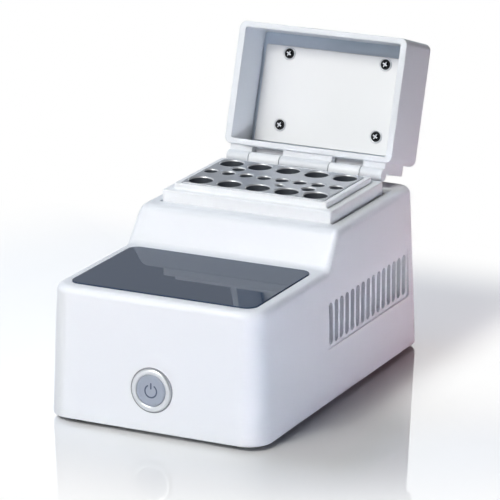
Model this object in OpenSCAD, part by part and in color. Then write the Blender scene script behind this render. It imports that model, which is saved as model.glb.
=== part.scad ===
// Mini dry block heater: drafted two-level housing with a vented side, stepped block frame,
// drilled aluminium block and a hinged lid with a screwed metal plate.
// Y is measured from the middle of the heating block until in_frame() moves it to the row frame.

/* [Housing] */
// Width at the foot of the walls
body_w = 105; // [100:1:112]
// Front wall to the middle of the heating block
front_reach = 120; // [116:1:128]
// Middle of the heating block to the rear wall
rear_reach = 51; // [50:1:56]
// Height of the low front deck above the table
front_deck_z = 61.2; // [56:0.2:64]
// Height of the high rear deck above the table
rear_deck_z = 76.6; // [74:0.2:78]
// Radius of the upright corners at the foot
corner_r = 11; // [9:0.5:14]
// Inward lean of every wall, in degrees
draft = 2.4; // [1:0.1:3]
// Wall thickness
wall = 2.5; // [2:0.1:3]
// Rounding between the decks and the walls
edge_r = 3.5; // [2:0.25:4]
// Steepness of the riser between the decks, in degrees
riser_angle = 53; // [45:1:60]

/* [Side vents] */
// Slots on each side
vent_count = 15; // [5:1:15]
// Distance from slot to slot
vent_pitch = 5.61; // [5.4:0.01:5.7]
// Width of one slot
vent_w = 3.6; // [2:0.1:3.8]
// Height of one slot
vent_h = 18.8; // [10:0.1:20]
// Height of the slots' middle above the table
vent_z = 37.1; // [34:0.1:40]

/* [Display and button] */
// Width of the dark glass
glass_w = 89; // [80:0.5:90]
// Depth of the dark glass, front to back
glass_d = 59.6; // [50:0.2:60]
// How far the glass stands above the deck
glass_proud = 0.5; // [0:0.1:0.7]
// Height of the power button above the table
button_z = 20.9; // [18:0.1:26]
// Radius of the button cap
cap_r = 7; // [5:0.1:7.2]
// Travel of the button
button_travel = 1.2; // [0.6:0.1:1.5]

/* [Heating block] */
// Length of the block along X
block_w = 70.6; // [70:0.2:71]
// Depth of the block along Y
block_d = 44.4; // [44:0.2:44.6]
// Height of the block
block_h = 37; // [34:0.5:38]
// Radius of the wells for 1.5 and 2.0 ml tubes
large_r = 5.45; // [5.2:0.05:5.6]
// Radius of the wells for 0.2 ml tubes
small_r = 3.05; // [2.9:0.05:3.1]
// Distance between large wells along X
large_pitch = 14.3; // [14:0.1:14.4]
// Distance between small wells of the strip row
strip_pitch = 9; // [8.8:0.1:9]

/* [Lid] */
// Width of the lid
lid_w = 85; // [84.5:0.5:86]
// Depth of the lid, hinge side to front
lid_d = 57.3; // [57.2:0.1:58]
// Height of the lid
lid_h = 30; // [28:0.5:32]
// How far the open lid leans back past upright, in degrees
lid_lean = 17.7; // [10:0.1:20]

/* [Hidden] */

foot_z = 2;                       // height of the rubber feet
base_t = 2.5;                     // thickness of the base plate
base_inset = wall + 0.6;          // wall's outer face at the foot to the base plate's edge
riser_low_r = 4;
riser_high_r = 6;
riser_y = -48.9;                  // where the front deck starts to climb
foot_chamfer = 0.5;               // round the foot of the walls

frame_w = 84;                     // plinth of the block frame
frame_d = 56;
ledge_z = rear_deck_z + 5.4;      // top of the plinth, where the closed lid rests
rim_w = 76;
rim_d = 48.2;
rim_h = 2.6;
block_top_z = ledge_z + rim_h + 0.4;
block_bottom_z = block_top_z - block_h;
collar_z = rear_deck_z - 6.5;     // underside of the opening's collar
flange_t = 2;
open_w = 85.8;                    // opening in the rear deck
open_front = -28.3;
open_rear = 35.9;
carrier_z = block_bottom_z - 3.5; // underside of the sheet that carries the block
carrier_t = 1.5;

hinge_y = 34.3;
hinge_z = ledge_z + 0.9;
barrel_r = 2.9;
pin_r = 1.25;
pin_gap = 0.05;
hinge_w = 79;                     // length over all five knuckles
knuckle_in = 12.7;                // ends of each base knuckle along X
knuckle_out = 28.1;
knuckle_gap = 0.3;
lid_gap = 0.25;                   // between the closed lid and the ledge
lid_turn = 90 + lid_lean;
lid_rear = 5.7;                   // hinge axis to the lid's rear face, lid closed
lid_low = ledge_z + lid_gap - hinge_z;
lid_edge_r = 2;
lid_corner_r = 4;
lid_rim_chamfer = 0.5;            // outside, round the open rim
lid_side_t = 3.3;
lid_end_t = 2.7;
panel_depth = 22.2;               // rim to the inner panel
panel_t = 1.8;
lid_top_t = 2.4;
plate_t = 1.3;
plate_w = 74;
plate_rear = 3.4;                 // rear face of the lid to the plate
plate_d = 45.5;
lid_screw_x = 24.6;
lid_screw_near = 11.8;            // rear face of the lid to the first pair of screws
lid_screw_far = 45.4;

glass_t = 1.2;
glass_r = 5;
glass_z = front_deck_z + glass_proud - glass_t;
glass_y = -81.6;
screen_w = 74;
screen_d = 46;
button_y = -front_reach + (button_z - foot_z) * tan(draft);
bezel_r = 10.3;
bezel_crest_r = 9.1;
bezel_h = 1.15;
sleeve_r = 8.4;
cap_gap = 0.08;
cap_dish_r = 5.7;                 // shallow dish in the cap's face
cap_dish_h = 0.35;
inlet_x = 30;
inlet_z = 20;
inlet_face_y = rear_reach - 2;
inlet_wall = 1.6;                 // wall left behind the socket's flange
inlet_nut_t = 2;
feet = [[-38, -109], [38, -109], [-41, 24], [41, 24]];
foot_r = 7.5;
base_screw_x = 45.5;
base_screw_ys = [-92, 39.5];
board_y = -46;
board_post_z = 10.6;
board_screw_x = 36;
board_screw_dy = 44;
frame_screw_x = 34;
frame_screw_ys = [-33.2, 40.8];
carrier_screw_x = 44.2;
carrier_screw_dy = 20;
sensor_x = -large_pitch / 2;
row_y = 15.7;                     // rows of large wells
extra_x = large_pitch * 1.5;      // single wells between the rows
extra_y = 8.1;
probe_r = 2;

// the part's box runs from the lower crest of the bezel to the rounded top edge of the open lid
bezel_tip = button_y - bezel_h * cos(draft) - bezel_crest_r * sin(draft);
lid_tip = hinge_y + (lid_rear + lid_d - lid_edge_r) * sin(lid_lean)
        + (lid_low + lid_h - lid_edge_r) * cos(lid_lean) + lid_edge_r;
block_y = -(bezel_tip + lid_tip) / 2;

white = [0.93, 0.94, 0.96];
metal = [0.72, 0.73, 0.75];
steel = [0.6, 0.61, 0.63];
$fn = 48;

// ---- shared shapes ----

// points of a rectangle with round corners, anticlockwise
function round_rect(w, d, r, n = 8) = [
    for (c = [0:3]) for (i = [0:n])
        let (a = 90 * c + 90 * i / n, sx = (c == 0 || c == 3) ? 1 : -1, sy = c < 2 ? 1 : -1)
        [sx * (w / 2 - r) + r * cos(a), sy * (d / 2 - r) + r * sin(a)]];

// height of the outer top surface at y: flat, arc, slope, arc, flat
riser_rise = rear_deck_z - front_deck_z;
slope_len = (riser_rise - (riser_low_r + riser_high_r) * (1 - cos(riser_angle))) / sin(riser_angle);
slope_y0 = riser_y + riser_low_r * sin(riser_angle);
slope_y1 = slope_y0 + slope_len * cos(riser_angle);
riser_end = slope_y1 + riser_high_r * sin(riser_angle);
function top_z(y) =
    y <= riser_y ? front_deck_z
    : y <= slope_y0 ? front_deck_z + riser_low_r - sqrt(riser_low_r ^ 2 - (y - riser_y) ^ 2)
    : y <= slope_y1
    ? front_deck_z + riser_low_r * (1 - cos(riser_angle)) + (y - slope_y0) * tan(riser_angle)
    : y < riser_end ? rear_deck_z - riser_high_r + sqrt(riser_high_r ^ 2 - (riser_end - y) ^ 2)
    : rear_deck_z;

// stations along the straight side wall, close together on the riser's arcs
riser_steps = 8;
side_ys = concat(
    [for (i = [0:riser_steps]) riser_y + riser_low_r * sin(riser_angle * i / riser_steps)],
    [for (i = [riser_steps:-1:0]) riser_end - riser_high_r * sin(riser_angle * i / riser_steps)]);

// right half of the footprint, drawn in by inset(y), from the front round to the rear
corner_steps = 8;
function half_outline(inset) = let (front = inset(-front_reach), rear = inset(rear_reach)) concat(
    [for (i = [0:corner_steps]) let (a = -90 + 90 * i / corner_steps, r = corner_r - front)
        [body_w / 2 - corner_r + r * cos(a), corner_r - front_reach + r * sin(a)]],
    [for (y = side_ys) [body_w / 2 - inset(y), y]],
    [for (i = [0:corner_steps]) let (a = 90 * i / corner_steps, r = corner_r - rear)
        [body_w / 2 - corner_r + r * cos(a), rear_reach - corner_r + r * sin(a)]]);

// closed ring of the housing: flat at flat_z, or drop below the top surface above each point
function ring(inset, drop, flat_z) =
    let (h = half_outline(inset), n = len(h))
    [for (i = [0:2 * n - 1])
        let (p = i < n ? h[i] : h[2 * n - 1 - i], x = i < n ? p[0] : -p[0])
        [x, p[1], is_undef(flat_z) ? top_z(p[1]) - drop : flat_z]];

// body of the housing's form, shrunk by skin on all sides: chamfered foot, drafted wall, rounded edge,
// ruled top
edge_steps = 6;
module housing_form(skin, low_z, chamfer = 0) {
    wall_in = function (z) skin + (z - foot_z) * tan(draft);
    r = max(edge_r - skin, 1);
    rings = concat(
        chamfer > 0 ? [ring(function (y) wall_in(low_z) + chamfer, 0, low_z)] : [],
        [ring(function (y) wall_in(low_z + chamfer), 0, low_z + chamfer)],
        [for (i = [0:edge_steps]) let (a = 90 * i / edge_steps)
            ring(function (y) wall_in(top_z(y) - skin - r) + r * (1 - cos(a)),
                 skin + r * (1 - sin(a)), undef)]);
    n = len(rings[0]);
    m = len(rings);
    side = [for (j = [0:m - 2]) for (i = [0:n - 1]) let (k = (i + 1) % n, a = j * n, b = (j + 1) * n)
        each [[a + i, b + i, a + k], [a + k, b + i, b + k]]];
    top = (m - 1) * n;
    lid_faces = [for (i = [0:n / 2 - 2]) each [
        [top + i, top + n - 1 - i, top + i + 1],
        [top + i + 1, top + n - 1 - i, top + n - 2 - i]]];
    base = [[for (i = [0:n - 1]) i]];
    polyhedron(points = [for (q = rings) each q], faces = concat(side, lid_faces, base), convexity = 6);
}

// upright prism with round corners
module slab(w, d, h, r) linear_extrude(h) polygon(round_rect(w, d, r));

module box_at(x0, x1, y0, y1, z0, z1) translate([x0, y0, z0]) cube([x1 - x0, y1 - y0, z1 - z0]);

module each_side() for (s = [0, 1]) mirror([s, 0, 0]) children();

module in_frame() translate([0, block_y, 0]) children();

// pan-head screw, head at the bottom, thread pointing up
module screw_up(shaft_r, len, head_r, head_h) {
    cylinder(r = shaft_r, h = len);
    translate([0, 0, -head_h]) cylinder(r = head_r, h = head_h);
}

module at_button() translate([0, button_y, button_z]) rotate([90 - draft, 0, 0]) children();

// lid parts are drawn closed, from the hinge axis, and then turned open
module at_lid() in_frame() translate([0, hinge_y, hinge_z]) rotate([-lid_turn, 0, 0]) children();

// ---- housing ----

module vent_slots() for (i = [0:vent_count - 1]) {
    y = (i - (vent_count - 1) / 2) * vent_pitch - 6.8;
    translate([body_w / 2 - 12, y, vent_z]) rotate([0, 90, 0])
        linear_extrude(20) polygon(round_rect(vent_h, vent_w, vent_w / 2 - 0.01, 4));
}

// shallow recess round the slots: an upright floor, so it dies out at its top and front
module vent_recess() translate([body_w / 2 - 2.2, 36.4, 0]) rotate([0, 0, 0.5])
    translate([0, -88, 26.2]) rotate([90, 0, 90]) linear_extrude(6)
    translate([44, 11.6]) polygon(round_rect(88, 23.2, 2, 4));

module housing() in_frame() color(white) difference() {
    union() {
        difference() {
            housing_form(0, foot_z, foot_chamfer);
            housing_form(wall, foot_z - 1);
        }
        intersection() {
            housing_form(wall / 2, foot_z);
            union() {
                // collar round the deck opening, which the block frame is screwed up against
                box_at(-open_w / 2 - 2.3, open_w / 2 + 2.3, open_front - 2.3, open_rear + 2.3,
                       collar_z, rear_deck_z);
                for (s = [-1, 1]) for (y = frame_screw_ys)
                    translate([s * frame_screw_x, y, collar_z]) cylinder(r = 3.2, h = 6);
                for (s = [-1, 1]) for (y = base_screw_ys)
                    translate([s * base_screw_x, y, foot_z + base_t]) cylinder(r = 4, h = 52);
            }
        }
    }
    box_at(-open_w / 2, open_w / 2, open_front, open_rear, collar_z - 5, rear_deck_z + 5);
    for (s = [-1, 1]) for (y = frame_screw_ys)
        translate([s * frame_screw_x, y, collar_z - 1]) cylinder(r = 1.2, h = 6);
    for (s = [-1, 1]) for (y = base_screw_ys)
        translate([s * base_screw_x, y, foot_z]) cylinder(r = 1.4, h = 14);
    translate([0, glass_y, glass_z]) slab(glass_w + 0.4, glass_d + 0.4, 5, glass_r);
    translate([0, glass_y, front_deck_z - 10]) slab(screen_w + 1, screen_d + 1, 12, 1);
    at_button() translate([0, 0, -10]) cylinder(r = sleeve_r + 0.1, h = 20);
    each_side() {
        vent_slots();
        vent_recess();
    }
    translate([inlet_x, inlet_face_y, inlet_z]) rotate([-90, 0, 0]) {
        cylinder(r = 8, h = 10);
        translate([0, 0, -10]) cylinder(r = 5.6, h = 20);
    }
}

module base_plate() in_frame() color([0.9, 0.91, 0.93]) difference() {
    union() {
        translate([0, (rear_reach - front_reach) / 2, foot_z])
            slab(body_w - 2 * base_inset, front_reach + rear_reach - 2 * base_inset, base_t, corner_r - wall);
        for (s = [-1, 1]) for (t = [-1, 1])
            translate([s * board_screw_x, board_y + t * board_screw_dy, foot_z + base_t])
                cylinder(r = 3, h = board_post_z - foot_z - base_t);
    }
    for (f = feet) translate([f[0], f[1], foot_z - 1]) cylinder(r = foot_r + 0.1, h = 1.6);
    for (s = [-1, 1]) for (y = base_screw_ys) translate([s * base_screw_x, y, foot_z - 1]) {
        cylinder(r = 1.7, h = 5);
        cylinder(r = 2.9, h = 2.3);
    }
    for (s = [-1, 1]) for (t = [-1, 1])
        translate([s * board_screw_x, board_y + t * board_screw_dy, foot_z + 1.2]) cylinder(r = 1.2, h = 10);
    // intake slots under the control board
    for (i = [-4:4]) translate([0, i * 7 - 40, foot_z - 1]) slab(36, 2.6, 5, 1.29);
}

module rubber_feet() in_frame() color([0.1, 0.1, 0.11]) for (f = feet)
    translate([f[0], f[1], 0]) {
        cylinder(r1 = foot_r - 0.6, r2 = foot_r, h = 0.6);
        translate([0, 0, 0.6]) cylinder(r = foot_r, h = foot_z);
    }

module base_screws() in_frame() color(steel) for (s = [-1, 1]) for (y = base_screw_ys)
    translate([s * base_screw_x, y, foot_z + 1.3]) screw_up(1.4, 12, 2.7, 1.1);

// ---- display ----

module display_glass() in_frame() color([0.12, 0.15, 0.18])
    translate([0, glass_y, glass_z]) slab(glass_w, glass_d, glass_t, glass_r);

module display_module() in_frame() color([0.1, 0.35, 0.2]) {
    deck_under = front_deck_z - wall;
    translate([0, glass_y, deck_under - 1.6]) slab(screen_w + 10, screen_d + 10, 1.6, 1);
    translate([0, glass_y, deck_under]) slab(screen_w, screen_d, glass_z - deck_under, 0.5);
    for (x = [-28, 0, 28]) translate([x, glass_y - 18, deck_under - 4.6]) slab(12, 6, 3, 0.5);
}

// ---- power button ----

module button_bezel() in_frame() at_button() color([0.8, 0.82, 0.84]) difference() {
    union() {
        // domed flange, highest at its middle
        rotate_extrude() polygon([[cap_r + cap_gap, 0], [bezel_r, 0], [bezel_r, 0.5], [bezel_r - 0.35, 0.9],
                                  [bezel_crest_r, bezel_h], [cap_r + 0.5, bezel_h], [cap_r + cap_gap, 0.8]]);
        translate([0, 0, -12]) cylinder(r = sleeve_r, h = 12.2);
    }
    translate([0, 0, -13]) cylinder(r = cap_r + cap_gap, h = 15);
}

module push_switch() in_frame() at_button() color([0.12, 0.12, 0.13]) {
    translate([0, 0, -22]) cylinder(r = sleeve_r, h = 10);
    // plunger: the cap's stem stops just short of it at the end of its travel
    translate([0, 0, -12]) cylinder(r = 3.4, h = 1.5);
    for (x = [-4, 4]) translate([x - 1, -0.4, -27]) cube([2, 0.8, 5]);
}

// domed cap with a shallow dish for the fingertip, and a skirt that slides in the bezel
module power_button() in_frame() at_button() color([0.62, 0.68, 0.75]) {
    dome_h = 1;
    dome_r = (cap_r ^ 2 + dome_h ^ 2) / (2 * dome_h);
    rotate_extrude() polygon(concat([[0, -9], [2.5, -9], [2.5, -6], [cap_r, -6], [cap_r, 0.2]],
        [for (i = [1:3]) let (x = cap_r - (cap_r - cap_dish_r) * i / 3)
            [x, 0.2 + sqrt(dome_r ^ 2 - x ^ 2) - (dome_r - dome_h)]],
        [for (i = [1:6]) let (x = cap_dish_r * (1 - i / 6))
            [x, 0.2 + dome_h * (1 - (cap_dish_r / cap_r) ^ 2) - cap_dish_h * (1 - (x / cap_dish_r) ^ 4)]]));
}

// ---- heating block and what carries it ----

module block_frame() in_frame() color(white) {
    difference() {
        union() {
            translate([0, 0, collar_z - flange_t]) slab(frame_w, frame_d, ledge_z - collar_z + flange_t, 1);
            translate([0, 0.1, ledge_z - 1]) slab(rim_w, rim_d, rim_h + 1, 0.8);
            translate([0, 3.8, collar_z - flange_t]) slab(93, 80, flange_t, 3);
            translate([0, 0, block_bottom_z + 18]) slab(block_w + 4.4, block_d + 4.4, 10, 1);
            for (s = [-1, 1]) for (t = [-1, 1])
                translate([s * carrier_screw_x, t * carrier_screw_dy, carrier_z + carrier_t])
                    cylinder(r = 2.7, h = collar_z - carrier_z - carrier_t - 1);
        }
        // hollow under the ledge
        difference() {
            translate([0, 0, collar_z - flange_t - 1])
                slab(frame_w - 4, frame_d - 4, ledge_z - collar_z + 1, 0.5);
            translate([0, 0, collar_z - flange_t - 2]) slab(block_w + 4.4, block_d + 4.4, 20, 1);
        }
        translate([0, 0, block_bottom_z]) slab(block_w + 0.3, block_d + 0.3, block_h + 5, 1.5);
        for (s = [-1, 1]) for (y = frame_screw_ys)
            translate([s * frame_screw_x, y, collar_z - 5]) cylinder(r = 1.6, h = 10);
        for (s = [-1, 1]) for (t = [-1, 1])
            translate([s * carrier_screw_x, t * carrier_screw_dy, carrier_z]) cylinder(r = 1.2, h = 10);
    }
    difference() {
        for (s = [-1, 1]) {
            x0 = s > 0 ? knuckle_in : -knuckle_out;
            box_at(x0, x0 + knuckle_out - knuckle_in, hinge_y - barrel_r, open_rear - 0.4,
                   collar_z - 1, hinge_z);
            translate([x0, hinge_y, hinge_z]) rotate([0, 90, 0])
                cylinder(r = barrel_r, h = knuckle_out - knuckle_in);
        }
        translate([-50, hinge_y, hinge_z]) rotate([0, 90, 0]) cylinder(r = pin_r, h = 100);
    }
}

module frame_screws() in_frame() color(steel) for (s = [-1, 1]) for (y = frame_screw_ys)
    translate([s * frame_screw_x, y, collar_z - flange_t]) screw_up(1.2, 6.5, 2.4, 1.6);

// straight well with a cone below it, and a light chamfer at its mouth
module well(r, depth, cone_h, tip_r) {
    translate([0, 0, -depth]) cylinder(r = r, h = depth + 1);
    translate([0, 0, -depth - cone_h]) cylinder(r1 = tip_r, r2 = r, h = cone_h);
    translate([0, 0, -0.3]) cylinder(r1 = r, r2 = r + 1.3, h = 1.3);
}

module heating_block() in_frame() color(metal) difference() {
    translate([0, 0, block_bottom_z]) slab(block_w, block_d, block_h, 1.4);
    translate([0, 0, block_top_z]) {
        for (i = [-2:2]) for (s = [-1, 1])
            translate([i * large_pitch, s * row_y, 0]) well(large_r, 19, 15, 2);
        for (i = [-3.5:1:3.5]) translate([i * strip_pitch, 0, 0]) well(small_r, 6, 11, 1.3);
        for (s = [-1, 1]) translate([s * extra_x, -s * extra_y, 0]) well(small_r, 6, 11, 1.3);
        translate([large_pitch / 2, -extra_y, -30]) cylinder(r = probe_r, h = 31);
    }
    translate([sensor_x, -extra_y, block_bottom_z - 1]) cylinder(r = 1.5, h = 13);
}

module heater_pad() in_frame() color([0.75, 0.35, 0.15]) difference() {
    translate([0, 0, carrier_z + carrier_t]) slab(66, 40, block_bottom_z - carrier_z - carrier_t, 2);
    translate([sensor_x, -extra_y, carrier_z]) cylinder(r = 1.5, h = 10);
}

module block_insulation() in_frame() color([0.85, 0.84, 0.78]) difference() {
    translate([0, 0, carrier_z + carrier_t])
        slab(82, 56, block_bottom_z + 18 - carrier_z - carrier_t, 2);
    translate([0, 0, carrier_z]) slab(block_w + 0.3, block_d + 0.3, 40, 1.5);
}

module block_carrier() in_frame() color(steel) difference() {
    translate([0, 0, carrier_z]) slab(94, 60, carrier_t, 3);
    translate([sensor_x, -extra_y, carrier_z - 1]) cylinder(r = 1.5, h = 10);
    for (s = [-1, 1]) for (t = [-1, 1])
        translate([s * carrier_screw_x, t * carrier_screw_dy, carrier_z - 1]) cylinder(r = 1.2, h = 10);
}

module carrier_screws() in_frame() color(steel) for (s = [-1, 1]) for (t = [-1, 1])
    translate([s * carrier_screw_x, t * carrier_screw_dy, carrier_z]) screw_up(1.2, 9, 2.4, 1.6);

module temperature_sensor() in_frame() color(steel)
    translate([sensor_x, -extra_y, block_bottom_z - 7]) cylinder(r = 1.5, h = 19);

// ---- electronics ----

module control_board() in_frame() color([0.08, 0.38, 0.2]) difference() {
    z = board_post_z;
    union() {
        translate([0, board_y, z]) slab(80, 96, 1.6, 2);
        translate([-22, board_y + 26, z + 1.5]) slab(19, 15.5, 15, 0.5);
        translate([6, board_y + 27, z + 1.5]) cylinder(r = 6.3, h = 18);
        translate([22, board_y + 24, z + 1.5]) cylinder(r = 5, h = 14);
        translate([0, board_y - 8, z + 1.5]) slab(14, 14, 1.6, 0.5);
        translate([-24, board_y - 30, z + 1.5]) slab(15, 8, 10, 0.5);
        translate([22, board_y - 30, z + 1.5]) slab(20, 7, 9, 0.5);
        translate([27, board_y - 4, z + 1.5]) slab(8, 24, 16, 0.5);
    }
    for (s = [-1, 1]) for (t = [-1, 1])
        translate([s * board_screw_x, board_y + t * board_screw_dy, z - 1]) cylinder(r = 1.2, h = 4);
}

module board_screws() in_frame() color(steel) for (s = [-1, 1]) for (t = [-1, 1])
    translate([s * board_screw_x, board_y + t * board_screw_dy, board_post_z + 1.6])
        mirror([0, 0, 1]) screw_up(1.2, 7, 2.6, 1.7);

module at_inlet() in_frame() translate([inlet_x, inlet_face_y, inlet_z]) rotate([-90, 0, 0]) children();

// round socket for a 5.5 mm plug with a centre pin
module power_inlet() at_inlet() color([0.13, 0.13, 0.14]) {
    difference() {
        union() {
            cylinder(r = 7, h = 1.4);
            translate([0, 0, -11]) cylinder(r = 5.5, h = 12);
        }
        translate([0, 0, -9]) cylinder(r = 2.85, h = 12);
    }
    translate([0, 0, -9.5]) cylinder(r = 1, h = 8.5);
}

module inlet_nut() at_inlet() color(steel) difference() {
    translate([0, 0, -inlet_wall - inlet_nut_t]) cylinder(r = 8, h = inlet_nut_t, $fn = 6);
    translate([0, 0, -10]) cylinder(r = 5.5, h = 12);
}

// ---- hinge and lid ----

module hinge_pin() in_frame() color(steel) translate([-hinge_w / 2 + 0.6, hinge_y, hinge_z])
    rotate([0, 90, 0]) cylinder(r = pin_r, h = hinge_w - 1.2);

// lid box, built up as rings: chamfered rim, rounded upright corners and a rounded top edge
lid_mid = -lid_rear - lid_d / 2;
lid_steps = 5;
function lid_ring(inset, z) =
    [for (p = round_rect(lid_w - 2 * inset, lid_d - 2 * inset, lid_corner_r - inset))
        [p[0], lid_mid + p[1], z]];
module lid_form() {
    rings = concat(
        [lid_ring(lid_rim_chamfer, lid_low), lid_ring(0, lid_low + lid_rim_chamfer)],
        [for (i = [0:lid_steps]) let (a = 90 * i / lid_steps)
            lid_ring(lid_edge_r * (1 - cos(a)), lid_low + lid_h - lid_edge_r * (1 - sin(a)))]);
    n = len(rings[0]);
    m = len(rings);
    polyhedron(points = [for (q = rings) each q], convexity = 4, faces = concat(
        [for (j = [0:m - 2]) for (i = [0:n - 1]) let (k = (i + 1) % n, a = j * n, b = (j + 1) * n)
            each [[a + i, b + i, a + k], [a + k, b + i, b + k]]],
        [[for (i = [0:n - 1]) i], [for (i = [n - 1:-1:0]) (m - 1) * n + i]]));
}

module lid_shell() at_lid() color(white) {
    cavity_w = lid_w - 2 * lid_side_t;
    cavity_d = lid_d - 2 * lid_end_t;
    cavity_h = lid_h - lid_top_t;
    difference() {
        union() {
            difference() {
                lid_form();
                translate([0, lid_mid, lid_low - 1]) slab(cavity_w, cavity_d, cavity_h + 1, 1.5);
            }
            for (s = [-1, 1]) for (u = [lid_screw_near, lid_screw_far])
                translate([s * lid_screw_x, -lid_rear - u, lid_low + panel_depth + panel_t])
                    cylinder(r = 3, h = lid_h - panel_depth - panel_t - 1);
            // hinge block behind the lid and the three lid knuckles
            box_at(-hinge_w / 2, hinge_w / 2, -lid_rear - 1, -0.7, lid_low + 1, lid_low + 22);
            rotate([0, 90, 0]) translate([0, 0, -hinge_w / 2]) cylinder(r = barrel_r, h = hinge_w);
        }
        for (s = [-1, 1]) for (u = [lid_screw_near, lid_screw_far])
            translate([s * lid_screw_x, -lid_rear - u, lid_low + panel_depth]) cylinder(r = 1.2, h = 6);
        // notches that clear the two base knuckles
        for (s = [-1, 1]) {
            x0 = s > 0 ? knuckle_in : -knuckle_out;
            box_at(x0 - knuckle_gap, x0 + knuckle_out - knuckle_in + knuckle_gap,
                   -lid_rear + 0.3, 8, -8, 4.6);
        }
        rotate([0, 90, 0]) translate([0, 0, -50]) cylinder(r = pin_r + pin_gap, h = 100);
    }
}

module lid_inner_panel() at_lid() color([0.8, 0.83, 0.87]) difference() {
    translate([0, lid_mid, lid_low + panel_depth])
        slab(lid_w - 2 * lid_side_t, lid_d - 2 * lid_end_t, panel_t, 1.5);
    for (s = [-1, 1]) for (u = [lid_screw_near, lid_screw_far])
        translate([s * lid_screw_x, -lid_rear - u, lid_low]) cylinder(r = 1.2, h = lid_h);
}

module lid_insulation() at_lid() color([0.85, 0.84, 0.78]) difference() {
    h = lid_h - lid_top_t - panel_depth - panel_t;
    translate([0, lid_mid, lid_low + panel_depth + panel_t])
        slab(lid_w - 2 * lid_side_t - 1, lid_d - 2 * lid_end_t - 1, h, 1);
    for (s = [-1, 1]) for (u = [lid_screw_near, lid_screw_far])
        translate([s * lid_screw_x, -lid_rear - u, lid_low]) cylinder(r = 3, h = lid_h);
}

module lid_plate() at_lid() color([0.88, 0.89, 0.9]) difference() {
    translate([0, -lid_rear - plate_rear - plate_d / 2, lid_low + panel_depth - plate_t])
        slab(plate_w, plate_d, plate_t, 0.8);
    for (s = [-1, 1]) for (u = [lid_screw_near, lid_screw_far])
        translate([s * lid_screw_x, -lid_rear - u, lid_low]) cylinder(r = 1.2, h = lid_h);
}

ring_t = 0.5;
module lid_screw_rings() at_lid() color(metal) for (s = [-1, 1]) for (u = [lid_screw_near, lid_screw_far])
    translate([s * lid_screw_x, -lid_rear - u, lid_low + panel_depth - plate_t - ring_t]) difference() {
        cylinder(r = 3, h = ring_t);
        translate([0, 0, -1]) cylinder(r = 1.2, h = 3);
    }

// low pan heads with a cross recess
module lid_screws() at_lid() color(steel) for (s = [-1, 1]) for (u = [lid_screw_near, lid_screw_far])
    translate([s * lid_screw_x, -lid_rear - u, lid_low + panel_depth - plate_t - ring_t]) difference() {
        screw_up(1.2, 7, 2.2, 1.3);
        for (a = [0, 90]) rotate([0, 0, a]) translate([-1.5, -0.3, -2]) cube([3, 0.6, 1.5]);
    }

housing();
base_plate();
rubber_feet();
base_screws();
display_glass();
display_module();
button_bezel();
push_switch();
block_frame();
frame_screws();
heating_block();
heater_pad();
block_insulation();
block_carrier();
carrier_screws();
temperature_sensor();
control_board();
board_screws();
power_inlet();
inlet_nut();
hinge_pin();
lid_shell();
lid_inner_panel();
lid_insulation();
lid_plate();
lid_screws();
lid_screw_rings();
power_button();
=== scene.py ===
import math

import bmesh
import bpy
import numpy as np
from bpy.props import FloatProperty, FloatVectorProperty, IntProperty, PointerProperty, StringProperty
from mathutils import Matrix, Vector


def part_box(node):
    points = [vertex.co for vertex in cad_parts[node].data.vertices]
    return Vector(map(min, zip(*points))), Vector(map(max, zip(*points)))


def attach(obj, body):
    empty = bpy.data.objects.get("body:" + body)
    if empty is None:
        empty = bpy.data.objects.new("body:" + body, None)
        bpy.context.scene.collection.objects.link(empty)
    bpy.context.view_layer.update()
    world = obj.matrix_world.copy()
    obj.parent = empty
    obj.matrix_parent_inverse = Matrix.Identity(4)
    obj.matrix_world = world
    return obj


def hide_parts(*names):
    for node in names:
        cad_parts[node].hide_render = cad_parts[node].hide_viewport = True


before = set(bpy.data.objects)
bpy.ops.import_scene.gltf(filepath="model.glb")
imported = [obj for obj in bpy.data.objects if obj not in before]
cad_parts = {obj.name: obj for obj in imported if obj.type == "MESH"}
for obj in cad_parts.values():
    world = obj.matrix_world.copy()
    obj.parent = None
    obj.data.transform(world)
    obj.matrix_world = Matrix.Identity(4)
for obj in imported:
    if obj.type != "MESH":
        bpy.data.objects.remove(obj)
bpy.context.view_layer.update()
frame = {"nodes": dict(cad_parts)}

bl_info = {
    "name": "Mini dry block heater",
    "version": (1, 0, 0),
    "blender": (4, 5, 0),
    "location": "3D View > Sidebar > Block heater",
    "description": "Builds the looks of a small laboratory block heater round its packed solids",
    "category": "Object",
}

MM = 0.001
BLOCK_LOW, BLOCK_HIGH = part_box("heating_block")

# Lengths of the heater are in millimetres, and along Y they are measured from the block's middle.
BLOCK_Y = (BLOCK_LOW.y + BLOCK_HIGH.y) / 2 / MM
BLOCK_TOP = BLOCK_HIGH.z / MM
FOOT_Z = 2.0                        # foot of the housing's walls
RISER_FOOT, RISER_HEAD = 4.0, 6.0   # radii of the arcs that join the riser to the two decks
RECESS_IN = 2.2                     # foot of the wall to the floor of the vent recess, at its rear end
RECESS_TURN = 0.5                   # turn of the recess floor about the upright, in degrees
LEDGE, RIM = 5.4, 8.0               # the frame's ledge and its rim, above the rear deck
HINGE_Y, HINGE_Z = 34.3, 82.9       # hinge axis
KNUCKLE = 2.9                       # radius of the hinge's knuckles
ARM_LOW, ARM_HIGH = 12.7, 28.1      # each frame knuckle's two ends along X
LID_RIM = 82.25                     # height of the closed lid's rim, 0.25 above the frame's ledge
LID_REAR = 5.7                      # hinge axis to the lid's rear wall
PLATE_FACE = 20.25                  # the lid's rim to the face of its bright plate
OVERCUT = 0.02                      # how far a cutter's mouth passes the face that it opens in
RUBBER, STEEL = "#26272A", "#D4D6DA"


# ---------------------------------------------------------------- settings

def size(label, text, value, low=0.0, high=500.0):
    """A length in millimetres or an angle in degrees, as its text says."""
    return FloatProperty(name=label, description=text, default=value, min=low, max=high, precision=2)


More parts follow.
